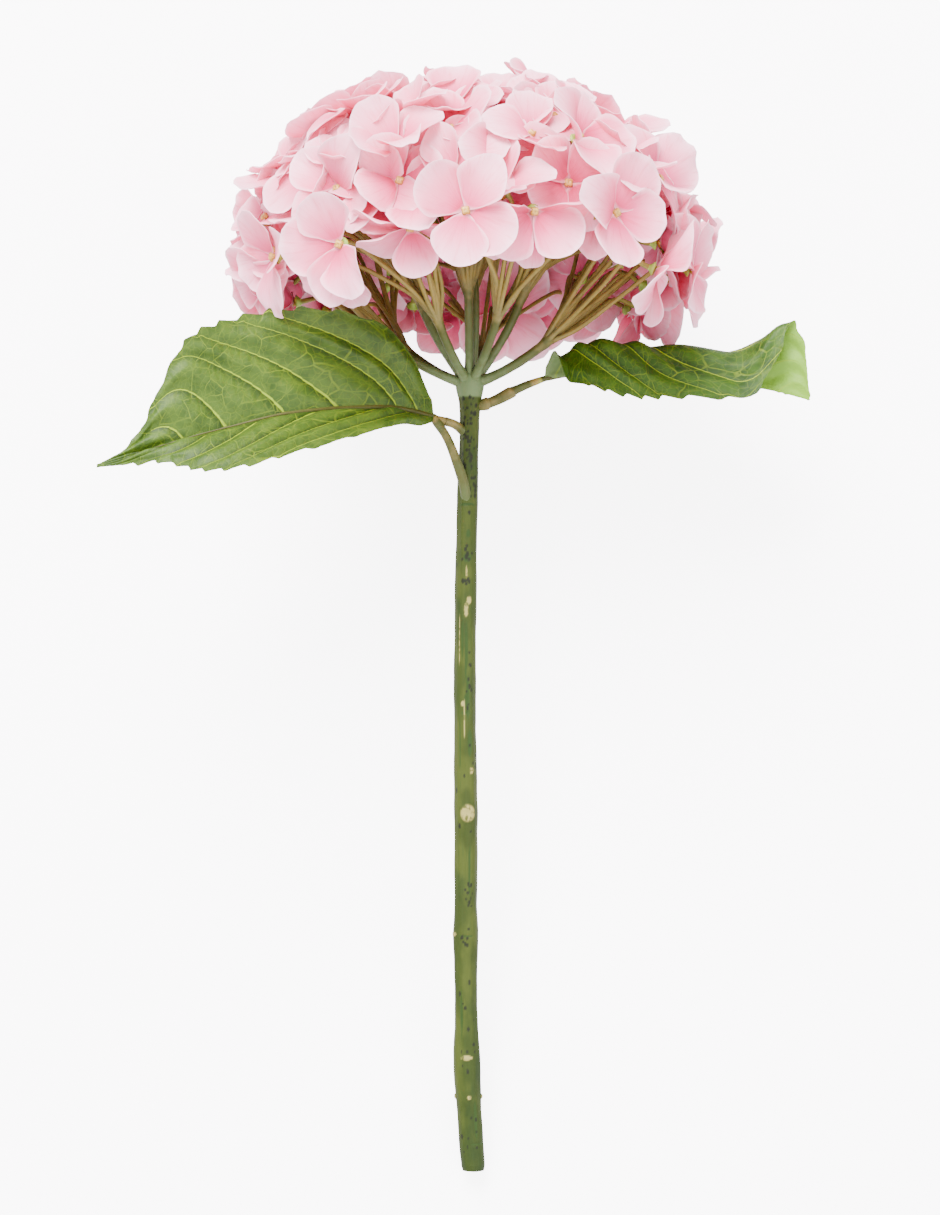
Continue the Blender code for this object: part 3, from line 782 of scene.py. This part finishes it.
def stem_finish():
    """Woody green stem: satin skin with dark corky specks, tan leaf scars and fine lengthwise fibres."""
    material, tree, shader = new_finish("green stem skin", 0.6, 0.15)
    height = mark(tree, "height")
    skin = add(tree, "ShaderNodeUVMap", {"uv_map": "skin"}).outputs[0]
    streaks = add(tree, "ShaderNodeMapping", Vector=skin, Scale=(1.0, 0.09, 1.0)).outputs[0]
    fibres = add(tree, "ShaderNodeTexNoise", Vector=streaks, Scale=1400.0, Detail=3.0).outputs["Fac"]
    rise = band(tree, height, -STEM_LENGTH, -30 * MM)
    pale = band(tree, object_noise(tree, 120.0, 3.0, (1.0, 0.4, 1.0)), 0.42, 0.62, 0.0, 0.8)
    dark = band(tree, object_noise(tree, 75.0, 4.0, (1.6, 0.5, 1.0)), 0.52, 0.66, 0.0, 0.7)
    scar = mark(tree, "scar")
    cork = band(tree, object_noise(tree, 900.0, 3.0, (1.0, 0.5, 1.0)), 0.36, 0.52)
    colour = cover(
        tree, ramp(tree, rise, (0.0, "#232e07"), (0.5, "#262f08"), (1.0, "#2b350b")),
        (pale, "#373f11"), (dark, "#192708"), (band(tree, fibres, 0.5, 0.75, 0.0, 0.5), "#23320c"),
        (band(tree, height, -4.5 * MM, -3.5 * MM), "#53633f"), (mark(tree, "shade"), "#20320d"),
        (calc(tree, "MULTIPLY", scar, 0.5), "#5a5824"), (calc(tree, "MULTIPLY", scar, cork), "#837a45"),
        (mark(tree, "speck"), "#15190a"), (mark(tree, "pith"), "#949a5e"))
    give_colour(tree, shader, colour)
    bump(tree, shader, fibres, 0.1 * MM, 0.4)
    return material


def leaf_finish(name, upper, shaded, painted_fold_shade, vein, under, under_tip):
    """Leaf skin: satin, veins lighter than the blade, painted shade beyond the side veins, a paler
    underside, a little light through it.
    """
    material, tree, shader = new_finish(name, 0.5, 0.2)
    blade = add(tree, "ShaderNodeUVMap", {"uv_map": "blade"}).outputs[0]
    phase, out, far = mark(tree, "phase"), mark(tree, "out"), mark(tree, "far")
    # A side vein lies wherever the phase passes a half; it thins towards the margin.
    apart = calc(tree, "SUBTRACT", calc(tree, "FRACT", phase), 0.5)
    near = calc(tree, "ABSOLUTE", apart)
    width = calc(tree, "MULTIPLY_ADD", out, -0.024, 0.044)
    lateral = calc(tree, "SUBTRACT", 1.0, band(tree, calc(tree, "DIVIDE", near, width), 0.35, 1.0))
    lateral = calc(tree, "MULTIPLY", lateral, band(tree, far, 0.86, 0.95, 1.0, 0.0))
    # The net between the side veins: meshes of about 6 mm, and finer ones of 2 mm inside them.
    bent = add(tree, "ShaderNodeTexNoise", Vector=blade, Scale=180.0, Detail=1.0).outputs["Color"]
    bend = (2 * MM, 2 * MM, 0.0)
    bent = add(tree, "ShaderNodeVectorMath", {"operation": "MULTIPLY_ADD"}, i0=bent, i1=bend, i2=blade)
    nets = []
    for scale, thick in ((130.0, 0.028), (400.0, 0.06)):
        cells = add(tree, "ShaderNodeTexVoronoi", {"feature": "DISTANCE_TO_EDGE"},
                    Vector=bent.outputs[0], Scale=scale)
        nets.append(calc(tree, "SUBTRACT", 1.0, band(tree, cells.outputs["Distance"], thick * 0.3, thick)))
    mottle = object_noise(tree, 190.0, 3.0)
    colour = blend_colours(tree, band(tree, mottle, 0.35, 0.7), upper, shaded)
    # Painted shade: the blade is darker just beyond each side vein, where it lies in a fold.
    fold = calc(tree, "MULTIPLY", band(tree, apart, -0.02, 0.03), band(tree, apart, 0.03, 0.26, 1.0, 0.0))
    fold = calc(tree, "MULTIPLY", fold, band(tree, out, 0.5, 0.95, 1.0, 0.3))
    colour = blend_colours(tree, calc(tree, "MULTIPLY", fold, 0.9), colour, painted_fold_shade)
    fine = calc(tree, "MULTIPLY", nets[1], 0.1)
    coarse = calc(tree, "MULTIPLY", nets[0], band(tree, mottle, 0.35, 0.65, 0.06, 0.34))
    lateral = calc(tree, "MULTIPLY", lateral, 0.95)
    lines = calc(tree, "MAXIMUM", calc(tree, "MAXIMUM", fine, coarse), lateral)
    colour = blend_colours(tree, lines, colour, vein)
    below = blend_colours(tree, far, under, under_tip)
    below = blend_colours(tree, calc(tree, "MULTIPLY", lines, 0.4), below, vein)
    colour = blend_colours(tree, mark(tree, "face"), below, colour)
    relief = calc(tree, "MULTIPLY_ADD", lines, -0.6, object_noise(tree, 700.0, 2.0))
    bump(tree, shader, relief, 0.3 * MM, 0.7)
    give_colour(tree, shader, colour, 0.22)
    return material


STALK_FINISH, STEM_FINISH = stalk_finish(), stem_finish()
# For each leaf, the third colour is the painted shade beyond its side veins.
LEFT_LEAF_FINISH = leaf_finish(
    "mid green leaf", "#3f5516", "#2d4310", "#1c2f05", "#7f941a", "#5c743c", "#658330")
RIGHT_LEAF_FINISH = leaf_finish(
    "dark green leaf", "#35520d", "#233e08", "#1b340a", "#8ba01c", "#64764a", "#6f9826")
print("made", len(bpy.data.materials), "finishes in all")

# %% [markdown]
# ## Rays and pedicels
# From the hub twelve rays arch out and up. Each ends in a collar, where thin pedicels part, one
# for every floret. They are tubes along smooth lines, so a second small tree sweeps a circle
# along every line at once; the thickness and the age are numbers on the line's points.

# %% Sweep the stalks
RAYS = ((-28, 42, 31), (24, 44, 32), (72, 28, 31), (-80, 26, 30), (118, 28, 33), (-130, 26, 33),
        (172, 28, 34), (-2, 66, 34), (88, 60, 36), (180, 60, 36), (-92, 60, 36),
        (40, 88, 40))  # azimuth and elevation in degrees, length to the fork in mm
RAY_ARCH = 10  # degrees by which a ray leaves the hub lower than its fork lies
RAY_RADIUS = 1.45 * MM
RAY_START = 2.5 * MM  # from the hub's middle, inside the stem's top
PEDICEL_RADIUS = 0.72 * MM
STALK_SIDES = 10
DENTS = 0.25 * MM


def make_stalk_tree():
    """Tubes along every line of the mesh, as thick as its points say, with dents and end caps."""
    tree, given = new_tree(
        "stalk", ("Sides", "Int", STALK_SIDES), ("Unevenness", "Float", DENTS),
        ("Finish", "Material", STALK_FINISH))
    lines = add(tree, "GeometryNodeMeshToCurve", i0=given["Geometry"]).outputs[0]
    ring = add(tree, "GeometryNodeCurvePrimitiveCircle", Resolution=given["Sides"], Radius=1.0)
    tubes = add(tree, "GeometryNodeCurveToMesh", Curve=lines, Profile_Curve=ring.outputs[0],
                Scale=named(tree, "thick"), Fill_Caps=True)
    # Dents and swellings about 4 mm apart.
    where = add(tree, "GeometryNodeInputPosition").outputs[0]
    dents = add(tree, "ShaderNodeTexNoise", Vector=where, Scale=260.0, Detail=1.0).outputs["Fac"]
    much = calc(tree, "MULTIPLY", calc(tree, "SUBTRACT", dents, 0.5), given["Unevenness"])
    out = add(tree, "GeometryNodeInputNormal").outputs[0]
    push = add(tree, "ShaderNodeVectorMath", {"operation": "SCALE"}, i0=out, Scale=much).outputs[0]
    uneven = add(tree, "GeometryNodeSetPosition", Geometry=tubes.outputs[0], Offset=push).outputs[0]
    end_tree(tree, (uneven, given["Finish"]))
    return tree


stalk_tree = make_stalk_tree()


def smooth_line(stops, steps):
    """A smooth line through rows of numbers, such as (x, y, z, radius, age), with steps per span."""
    stops = np.array(stops, dtype=float)
    padded = np.concatenate([2 * stops[:1] - stops[1:2], stops, 2 * stops[-1:] - stops[-2:-1]])
    line = []
    for k in range(len(stops) - 1):
        before, a, b, after = padded[k:k + 4]
        for f in np.arange(steps) / steps:
            line.append(0.5 * (2 * a + (b - before) * f + (2 * before - 5 * a + 4 * b - after) * f**2
                               + (3 * a - before - 3 * b + after) * f**3))
    line.append(stops[-1])
    return np.array(line)


def sweep(name, lines, sides=STALK_SIDES):
    """Tubes along lines of (x, y, z, radius, age) in the plant frame, laid down as one mesh."""
    rows = np.concatenate(lines)
    edges, start = [], 0
    for line in lines:
        edges += [(start + k, start + k + 1) for k in range(len(line) - 1)]
        start += len(line)
    source = point_mesh(name, rows[:, :3], edges, thick=rows[:, 3], age=rows[:, 4])
    mesh = run_tree(stalk_tree, name, source, Sides=sides)
    mesh.transform(LAY_DOWN)
    shade_soft(mesh)
    return mesh


def in_metres(rows):
    """(x, y, z, radius, age) rows, all but the age given in mm, in metres."""
    return [(x * MM, y * MM, z * MM, radius * MM, age) for x, y, z, radius, age in rows]


def ray_line(azimuth, elevation, distance):
    """A ray that arches from inside the hub to the swollen collar at its fork."""
    start = direction(azimuth, elevation - RAY_ARCH) * RAY_START
    fork = direction(azimuth, elevation) * distance * MM
    pull = start + direction(azimuth, elevation - RAY_ARCH) * 0.45 * distance * MM
    line = []
    for t in np.linspace(0, 1, 26):
        point = (1 - t) ** 2 * start + 2 * t * (1 - t) * pull + t**2 * fork
        swell = 0.25 * (1 - smooth_step(0.0, 0.3, t)) + 0.3 * smooth_step(0.86, 0.97, t)
        line.append((*point, RAY_RADIUS * (1 + swell), 0.5 * t))
    ahead = (fork - pull).normalized()
    line.append((*(fork + ahead * 0.5 * MM), RAY_RADIUS * 1.22, 0.5))
    line.append((*(fork + ahead * 0.9 * MM), RAY_RADIUS * 0.7, 0.6))
    return np.array(line), fork, ahead


rays = [ray_line(*ray) for ray in RAYS]


def pedicel_line(place, ray):
    """A pedicel from a ray's collar to the calyx of the floret at this place."""
    _, fork, ahead = rays[ray]
    tip = place @ Vector((0, 0, -CALYX_LENGTH + 0.2 * MM))
    behind = place @ Vector((0, 0, -CALYX_LENGTH - PEDICEL_RUN))
    aside = (behind - fork - ahead * (behind - fork).dot(ahead)).normalized()
    start = fork + aside * 0.5 * RAY_RADIUS
    early = start + ahead * 0.22 * (behind - fork).length + aside * 0.08 * (behind - fork).length
    middle = early.lerp(behind, 0.5) + ahead * 1.2 * MM
    stops = [(*(start - ahead * MM), PEDICEL_RADIUS * 1.35, 0.5), (*early, PEDICEL_RADIUS * 1.1, 0.62),
             (*middle, PEDICEL_RADIUS, 0.75), (*behind, PEDICEL_RADIUS, 0.85),
             (*tip, PEDICEL_RADIUS * 1.25, 1.0)]
    return smooth_line(stops, 5)


def nearest_ray(place):
    """The ray that points most nearly at the foot of this floret's stalk."""
    point = (place @ Vector((0, 0, -PEDICEL_RUN))).normalized()
    return max(range(len(rays)), key=lambda r: rays[r][1].normalized().dot(point))


bunches = [[ray[0]] for ray in rays]
for place, _ in florets + inner:
    ray = nearest_ray(place)
    bunches[ray].append(pedicel_line(place, ray))
for number, lines in enumerate(bunches, 1):
    name = f"ray_stalks_{number:02d}"
    add_piece(name, sweep(name, lines), "ray", f"ray_{number:02d}")
print("pedicels on each ray:", [len(lines) - 1 for lines in bunches])

# %% [markdown]
# ## The stem
# The stem is a turned shape with a life story: swollen nodes, ridges, leaf scars and corky
# specks. Rings of points follow the stations of the CAD, and every mark is an oval on the
# unrolled skin that lifts or sinks the surface and leaves its number for the finish. Because
# the skin's map is in metres, the fibres keep their real size.

# %% Model the stem
# Height, drift to the side and radius, in mm.
STEM_STATIONS = ((-259, 1.2, 3.5), (-257.5, 1.1, 3.85), (-250, 0.4, 3.9), (-240, -0.2, 3.9),
                 (-233, -0.7, 4.3), (-226, -0.9, 4.5), (-220, -1.1, 4.3), (-212, -1.2, 3.8),
                 (-190, -1.4, 3.8), (-181, -1.4, 4.2), (-172, -1.4, 3.8), (-148, -1.3, 3.8),
                 (-141, -1.3, 4.1), (-134, -1.4, 3.8), (-98, -1.6, 3.6), (-58, -1.2, 3.5),
                 (-38, -0.8, 3.4), (-10, 0, 3.2), (-5, 0, 3.6), (-2, 0, 4.4), (0, 0, 4.8),
                 (2, 0, 4.6), (4, 0, 4.0), (5.6, 0, 3.0), (6.2, 0, 1.2))
# The short socket at the stem's side that takes the left leaf's peg: x, y, z, radius in mm, age.
STUB = ((-2.0, -15.3, 1.4, 1.7, 0.3), (-5, -13.2, 3.2, 1.45, 0.5), (-8.2, -12.2, 4.6, 1.5, 0.5))
STEM_SIDES = 72
STEM_RINGS = 620
END_RINGS = np.array([0.3, 0.8, 1.4, 2.0, 2.6, 3.1])  # radii on the cut face, in mm
STEM_GIRTH = 2 * math.pi * 3.8 * MM
SPECK_RELIEF, MARK_RELIEF = 0.1, 0.6  # how much of a mark's lift shows in the surface
STEM_MARKS = (
    # kind, height and angle from the viewer's side, half height, half width, lift, all in mm or degrees
    ("scar", -141, 8, 3.0, 2.6, 0.5),
    ("scar", -74, 2, 2.6, 0.8, 0.25),
    ("scar", -71, 16, 1.4, 0.9, 0.2),
    ("scar", -221.5, 0, 0.8, 2.2, 0.45),
    ("scar", -234.6, 4, 0.7, 0.7, 0.7),
    ("scar", -234.6, 88, 0.9, 1.2, 0.9),
    ("scar", -234.6, -88, 0.9, 1.2, 0.9),
    ("scar", -181, -70, 0.8, 1.6, 0.5),
    ("scar", -127, 30, 1.2, 0.7, 0.3),
    ("scar", -105, -14, 0.9, 0.6, 0.2),
    ("shade", -88, 4, 11, 0.5, -0.2),
    ("shade", -103, 14, 8, 0.7, -0.25),
    ("shade", -104, 8, 2.6, 1.1, -0.1),
    ("shade", -118, 22, 5, 0.8, -0.2),
    ("shade", -84, -16, 7, 0.4, -0.2),
    ("shade", -57, 4, 1.6, 1.5, -0.15),
    ("shade", -49, 8, 1.5, 0.8, 0.1),
    ("scar", -62, 2, 3.2, 0.22, -0.1),
    ("scar", -110, -4, 7.0, 0.2, -0.1),
    ("scar", -84, -34, 9.0, 0.18, -0.05),
    ("shade", -242, 30, 7, 0.7, -0.25),
    ("shade", -207, -25, 9, 0.45, -0.2),
    ("shade", -160, 18, 10, 0.35, -0.15),
    ("shade", -118, -30, 9, 0.35, -0.15),
    ("shade", -39.5, -2, 0.4, 3.6, -0.3),
    ("shade", -108, 4, 0.35, 2.2, -0.2),
    ("shade", -250, 40, 0.4, 3.0, -0.3),
    ("shade", -181.5, 0, 0.4, 2.5, -0.2),
)
SPECK_ZONES = (
    # from height, to height, how many, middle angle, spread of the angle
    (-4, -18, 34, 0, 75), (-18, -38, 46, 0, 80), (-53, -59, 8, 0, 40), (-64, -67, 5, 0, 30),
    (-78, -107, 10, 20, 16), (-163, -172, 12, 12, 22), (-178, -186, 7, -5, 40), (-118, -150, 8, 0, 90),
    (-196, -232, 14, 0, 90), (-238, -255, 10, 0, 90), (-8, -250, 70, 180, 110),
)


def stem_marks():
    """STEM_MARKS and, drawn at random in their zones, the specks."""
    rng = random.Random(21)
    marks = list(STEM_MARKS)
    for top, bottom, count, middle, spread in SPECK_ZONES:
        for _ in range(count):
            size = rng.uniform(0.28, 0.6)
            marks.append(("speck", rng.uniform(bottom, top), rng.gauss(middle, spread / 2),
                          size * rng.uniform(1, 2.1), size, rng.uniform(-0.15, 0.15)))
    return marks


def stem_mesh():
    """The stem's skin, closed at both ends, with the marks and the map that its finish reads."""
    heights, drifts, radii = np.array(STEM_STATIONS).T
    # The cut end's flat rings come first, from its middle outwards.
    cut = len(END_RINGS)
    h = np.concatenate([np.full(cut, heights[0]), np.linspace(heights[0], heights[-1], STEM_RINGS)])
    r = np.interp(h, heights, radii)
    r[:cut] = END_RINGS
    # The stations are joined softly, except at the cut and at the hub's dome.
    body = h[cut:]
    r[cut:] = np.where((body > -256) & (body < 4), softened(r[cut:], 3), r[cut:])
    drift = np.interp(h, heights, drifts)
    drift[cut:] = softened(drift[cut:], 12)
    angle = np.linspace(0, 2 * math.pi, STEM_SIDES, endpoint=False)[None]
    h, r, drift = h[:, None], r[:, None], drift[:, None]
    # Three, five and nine shallow ridges run up the stem and turn slowly; waves cross them.
    lift = 0.10 * np.cos(3 * angle + 0.012 * h) + 0.07 * np.cos(5 * angle - 0.02 * h + 1)
    lift = lift + 0.05 * np.cos(9 * angle + 0.05 * h)
    lift = lift + 0.09 * np.sin(h * 0.21 + 2 * angle) + 0.03 * np.sin(h * 0.55 + 3 * angle)
    lift = lift + 0.01 * np.sin(h * 1.3 + angle)
    paints = {kind: np.zeros((len(h), STEM_SIDES)) for kind in ("scar", "shade", "speck")}
    for kind, height, turn, tall, wide, raised in stem_marks():
        apart = (np.degrees(angle) - turn + 180) % 360 - 180
        away = np.hypot((h - height) / tall, np.radians(apart) * np.maximum(r, 1) / wide)
        share = SPECK_RELIEF if kind == "speck" else MARK_RELIEF
        lift = lift + share * raised * (1 - smooth_step(0.5, 1.15, away))
        if kind == "scar":
            lift = lift - 0.5 * raised * (1 - smooth_step(0.1, 0.6, away))
        paints[kind] = np.maximum(paints[kind], 1 - smooth_step(0.75, 1.05, away))
    # On the cut face the unevenness goes into the height, on the skin into the radius.
    lift[:cut] = 0.12 * np.sin(5 * angle + END_RINGS[:, None])
    count = len(h)
    on_cut = np.arange(count)[:, None] < cut
    across = r + np.where(on_cut, 0, lift)
    x = (drift + across * np.sin(angle)) * MM
    y = (h + np.where(on_cut, lift, 0)) * MM
    z = across * np.cos(angle) * MM
    points = np.stack([x, y, z], -1)
    faces = []
    for k in range(count - 1):
        for n in range(STEM_SIDES):
            m = (n + 1) % STEM_SIDES
            low, high = k * STEM_SIDES, (k + 1) * STEM_SIDES
            faces.append((low + n, low + m, high + m, high + n))
    faces.append(tuple(reversed(range(STEM_SIDES))))
    faces.append(tuple(range((count - 1) * STEM_SIDES, count * STEM_SIDES)))
    mesh = bpy.data.meshes.new("stem_skin")
    mesh.from_pydata(points.reshape(-1, 3).tolist(), [], faces)
    pith = np.zeros_like(across)
    pith[:cut] = 1 - smooth_step(1.8, 3.1, END_RINGS)[:, None]
    set_marks(mesh, **paints, pith=pith, height=np.broadcast_to(h * MM, across.shape))
    corners = corner_points(mesh)
    turn = corners % STEM_SIDES
    # The last face of each ring runs on to the full turn, so that the map doesn't wrap back.
    face_of = np.repeat(np.arange(len(mesh.polygons)), [p.loop_total for p in mesh.polygons])
    turn = np.where((face_of % STEM_SIDES == STEM_SIDES - 1) & (turn == 0), STEM_SIDES, turn)
    around = turn * (STEM_GIRTH / STEM_SIDES)
    uv = np.stack([around, (h.ravel() * MM)[corners // STEM_SIDES]], -1)
    mesh.uv_layers.new(name="skin").data.foreach_set("uv", uv.ravel())
    mesh.transform(LAY_DOWN)
    mesh.materials.append(STEM_FINISH)
    shade_soft(mesh, 60)
    return mesh


add_piece("stem_skin", stem_mesh(), "stem", "stem")
add_piece("stem_stub", sweep("stem_stub", [smooth_line(in_metres(STUB), 6)]), "stem")
print("stem of", len(pieces[-2].data.polygons), "faces")

# %% [markdown]
# ## The leaves
# A leaf's midrib is a smooth line, and from each of its points the blade runs out to both sides
# along its own slope: that one rule lays out both the flat left leaf and the right one that
# rolls over on itself. The margin is cut into teeth that point to the tip, the side veins lie in
# furrows and the blade swells between them. Petioles are swept with the stalk tree.

# %% Model the leaf blades
# Points of the midribs in mm, then outlines: share of the way to the tip, share of HALF_WIDTH.
LEFT_MIDRIB = ((-12, -10.9, 7), (-27, -8.6, 18), (-55, -11, 33), (-77, -16.5, 41), (-94, -21.5, 46),
               (-117, -29, 50))
RIGHT_MIDRIB = ((24.5, 2.0, 2), (32, 3.4, 2), (39.5, 3.4, 1.5), (51, 2.4, -1), (63, 1.4, -3), (87, 0.6, -3),
                (100, -1.4, 0), (111.5, -5, 3))
HALF_WIDTH = 34 * MM
LEFT_UPPER_OUTLINE = ((0, 0.12), (0.03, 0.34), (0.07, 0.54), (0.17, 0.80), (0.31, 0.95), (0.41, 1),
                      (0.52, 1.02), (0.64, 1), (0.70, 0.95), (0.75, 0.84), (0.80, 0.63), (0.84, 0.4),
                      (0.88, 0.18), (0.92, 0.07), (1, 0.01))
LEFT_LOWER_OUTLINE = ((0, 0.08), (0.03, 0.2), (0.12, 0.28), (0.2, 0.42), (0.3, 0.57), (0.4, 0.70),
                      (0.48, 0.80), (0.57, 0.77), (0.65, 0.62), (0.73, 0.43), (0.82, 0.24), (0.9, 0.1),
                      (1, 0.01))
RIGHT_OUTLINE = ((0, 0.08), (0.05, 0.34), (0.15, 0.72), (0.3, 0.95), (0.45, 1), (0.6, 0.98), (0.72, 0.9),
                 (0.83, 0.72), (0.91, 0.5), (0.96, 0.24), (1, 0.01))
LEAF_ROWS = 170
LEAF_COLUMNS = 44  # to each side of the midrib
LEAF_THICKNESS = 0.4 * MM
TOOTH_LENGTH = 1.7 * MM
MAP_LENGTH = 0.11  # metres along the blade's map, from base to tip
UPPER_VEINS = (0.07, 0.16, 0.31, 0.43, 0.60, 0.76, 0.88)  # where side veins leave the midrib
LOWER_VEINS = (0.10, 0.22, 0.35, 0.50, 0.66, 0.80, 0.90)


def left_slope(t, side, u):
    """Which way the left blade runs out, in degrees: 90 up the plant, 0 towards the viewer's side."""
    if side > 0:
        return 102 - 14 * u
    return -28 - 14 * u - 50 * smooth_step(0.8, 1.0, t)


def right_slope(t, side, u):
    """The right leaf's near half rises, rolls over and hangs down; near the tip it lies open."""
    if side < 0:
        return 170 - 10 * u
    fold = 0.19 + 0.95 * smooth_step(0.68, 0.92, t)
    return 88 - 150 * smooth_step(0.0, 0.12, t) * smooth_step(fold, fold + 0.33, u)


def leaf_half(line, lead, outline, slope, tip_lean, side):
    """(points, marks for the finish, map) of one half of the blade, from the midrib outwards."""
    t = np.linspace(0, 1, LEAF_ROWS)[:, None]
    width = softened(np.interp(t[:, 0], *np.array(outline).T), 4)[:, None]
    u = np.linspace(0, 1, LEAF_COLUMNS + 1)[None] ** 0.9
    # Teeth: slow out, quick back, and about 7 mm apart at the base but 4 mm near the tip.
    beat = (11 * t + 3 * t**2 + 0.3 * side) % 1
    tooth = np.where(beat < 0.78, beat / 0.78, (1 - beat) / 0.22) ** 1.2
    tooth = tooth * TOOTH_LENGTH * smooth_step(0.12, 0.35, t) * (1 - smooth_step(0.88, 0.95, t))
    reach = HALF_WIDTH * width * u + (tooth - 0.4 * TOOTH_LENGTH * width) * smooth_step(0.86, 1.0, u)
    middle = (u[:, 1:] + u[:, :-1]) / 2
    angle = np.radians(slope(t, side, middle))
    steps = np.diff(reach, axis=1)[..., None] * np.stack([0 * angle, np.sin(angle), np.cos(angle)], -1)
    steps = np.concatenate([np.zeros((LEAF_ROWS, 1, 3)), steps], axis=1)
    lean = 0.12 + tip_lean * smooth_step(0.6, 0.9, t)
    points = line[:, None] + np.cumsum(steps, axis=1) + lead[:, None] * (reach * lean)[..., None]
    # A side vein sweeps forward, so the point where it left the midrib lags behind.
    lag = 0.17 * u + 0.22 * u**2.2
    starts = UPPER_VEINS if side > 0 else LOWER_VEINS
    root = t - lag * (0.5 + 0.5 * width)
    phase = np.interp(root, starts, np.arange(len(starts)) + 0.5)
    phase = phase + np.minimum(root - starts[0], 0) / 0.3 + np.maximum(root - starts[-1], 0) / 0.12
    far, out = np.broadcast_arrays(t, u)
    # The 20 keeps every phase above 0, also before the first side vein.
    marks = {"phase": phase + 20, "out": out, "far": far}
    return points, marks, np.stack(np.broadcast_arrays(side * reach, t * MAP_LENGTH), -1)


def leaf_mesh(name, midrib, outlines, slope, tip_lean, finish, seed):
    """(mesh of a blade, its midrib line): two halves joined, swollen between the side veins."""
    line = smooth_line([(x * MM, y * MM, z * MM) for x, y, z in midrib], 60)
    line = line[np.linspace(0, len(line) - 1, LEAF_ROWS).round().astype(int)]
    lead = np.gradient(line, axis=0)
    lead /= np.linalg.norm(lead, axis=1, keepdims=True)
    near, far = (leaf_half(line, lead, outline, slope, tip_lean, side)
                 for outline, side in zip(outlines, (-1, 1)))
    sheet = np.concatenate([near[0][:, :0:-1], far[0]], axis=1)
    uv = np.concatenate([near[2][:, :0:-1], far[2]], axis=1)
    marks = {key: np.concatenate([near[1][key][:, :0:-1], far[1][key]], axis=1) for key in near[1]}
    apart = np.abs(marks["phase"] % 1 - 0.5)
    inside = smooth_step(0.02, 0.2, marks["out"]) * (1 - smooth_step(0.75, 1, marks["out"]))
    shape = smooth_step(0.0, 0.1, marks["far"]) * (1 - smooth_step(0.85, 1, marks["far"]))
    swell = 1.3 * MM * np.sin(math.pi * apart) ** 2 * inside * shape
    furrow = 0.35 * MM * np.exp(-((apart / 0.05) ** 2)) * (1 - marks["out"])
    wave = 0.9 * MM * np.sin(marks["far"] * 17 + seed + 2 * np.sign(uv[..., 0])) * marks["out"] ** 3 * shape
    crease = 0.5 * MM * np.exp(-((uv[..., 0] / (1.2 * MM)) ** 2)) * shape
    sheet = sheet + sheet_normals(sheet) * (swell - furrow + wave - crease)[..., None]
    thick = LEAF_THICKNESS * (1 - 0.6 * marks["out"] ** 4)
    mesh = sheet_mesh(name, sheet, uv, thick, **marks)
    mesh.transform(LAY_DOWN)
    mesh.materials.append(finish)
    return mesh, line


left_blade, left_line = leaf_mesh(
    "leaf_left_blade", LEFT_MIDRIB, (LEFT_LOWER_OUTLINE, LEFT_UPPER_OUTLINE), left_slope, 0.0,
    LEFT_LEAF_FINISH, 0.5)
right_blade, right_line = leaf_mesh(
    "leaf_right_blade", RIGHT_MIDRIB, (RIGHT_OUTLINE, RIGHT_OUTLINE), right_slope, 0.26,
    RIGHT_LEAF_FINISH, 2.0)
add_piece("leaf_left_blade", left_blade, "leaf", "leaf_left")
add_piece("leaf_right_blade", right_blade, "leaf", "leaf_right")
print("each blade has", len(left_blade.polygons), "faces")

# %% [markdown]
# ## Midribs and petioles
# A leaf stalk runs on under its blade as the midrib, so both are one tube: its first stops are
# given, the rest are read from the blade's own line. Sweeping it with the stalk tree, and
# not adding it to the blade, keeps it round and gives it the stalks' wax.

# %% Sweep the midribs and petioles
MIDRIB_AGE = 1.3  # past 1, which the stalk finish shows as a dark olive
# x, y, z and radius in mm, age.
LEFT_PETIOLE = ((-0.9, -39.6, 1.3, 1.4, 0.2), (-1.3, -36.5, 2.2, 1.8, 0.24), (-2.2, -32, 3.5, 1.75, 0.32),
                (-4.4, -25.5, 5.2, 1.6, 0.4), (-7.4, -18, 6.2, 1.4, 0.42), (-11, -12.4, 6.6, 1.5, 0.44))
LEFT_PEG = ((-8.3, -12.2, 4.5, 1.35, 0.55), (-11, -11.6, 6.4, 1.2, 0.6))
RIGHT_PETIOLE = ((3.0, -6.8, 0, 1.7, 0.4), (5.6, -6.2, 0.3, 2.1, 0.5), (6.2, -6.0, 0.3, 1.7, 0.42),
                 (9.5, -4.6, 0.8, 1.8, 0.42), (13.6, -2.5, 1.4, 1.95, 0.5), (14.6, -1.9, 1.4, 1.5, 0.42),
                 (19.5, 0.2, 1.7, 1.3, 0.4))


def rib_stops(line, size):
    """(x, y, z, radius, age) along a blade's midrib, thinning towards the tip."""
    stops = []
    for k in range(0, int(LEAF_ROWS * 0.96), 6):
        share = k / LEAF_ROWS
        radius = size * (1 - 0.78 * share) * MM
        stops.append((*(line[k] - np.array([0, 0, 0.6 * MM])), radius, MIDRIB_AGE))
    return stops


left_stalk = smooth_line(in_metres(LEFT_PETIOLE) + rib_stops(left_line, 1.1), 4)
left_peg = smooth_line(in_metres(LEFT_PEG), 4)
right_stalk = smooth_line(in_metres(RIGHT_PETIOLE) + rib_stops(right_line, 1.0), 4)
add_piece("leaf_left_stalk", sweep("leaf_left_stalk", [left_stalk, left_peg], 12), "leaf")
add_piece("leaf_right_stalk", sweep("leaf_right_stalk", [right_stalk], 12), "leaf")
print(len(pieces), "pieces,", sum(len(p.data.polygons) for p in pieces), "faces")
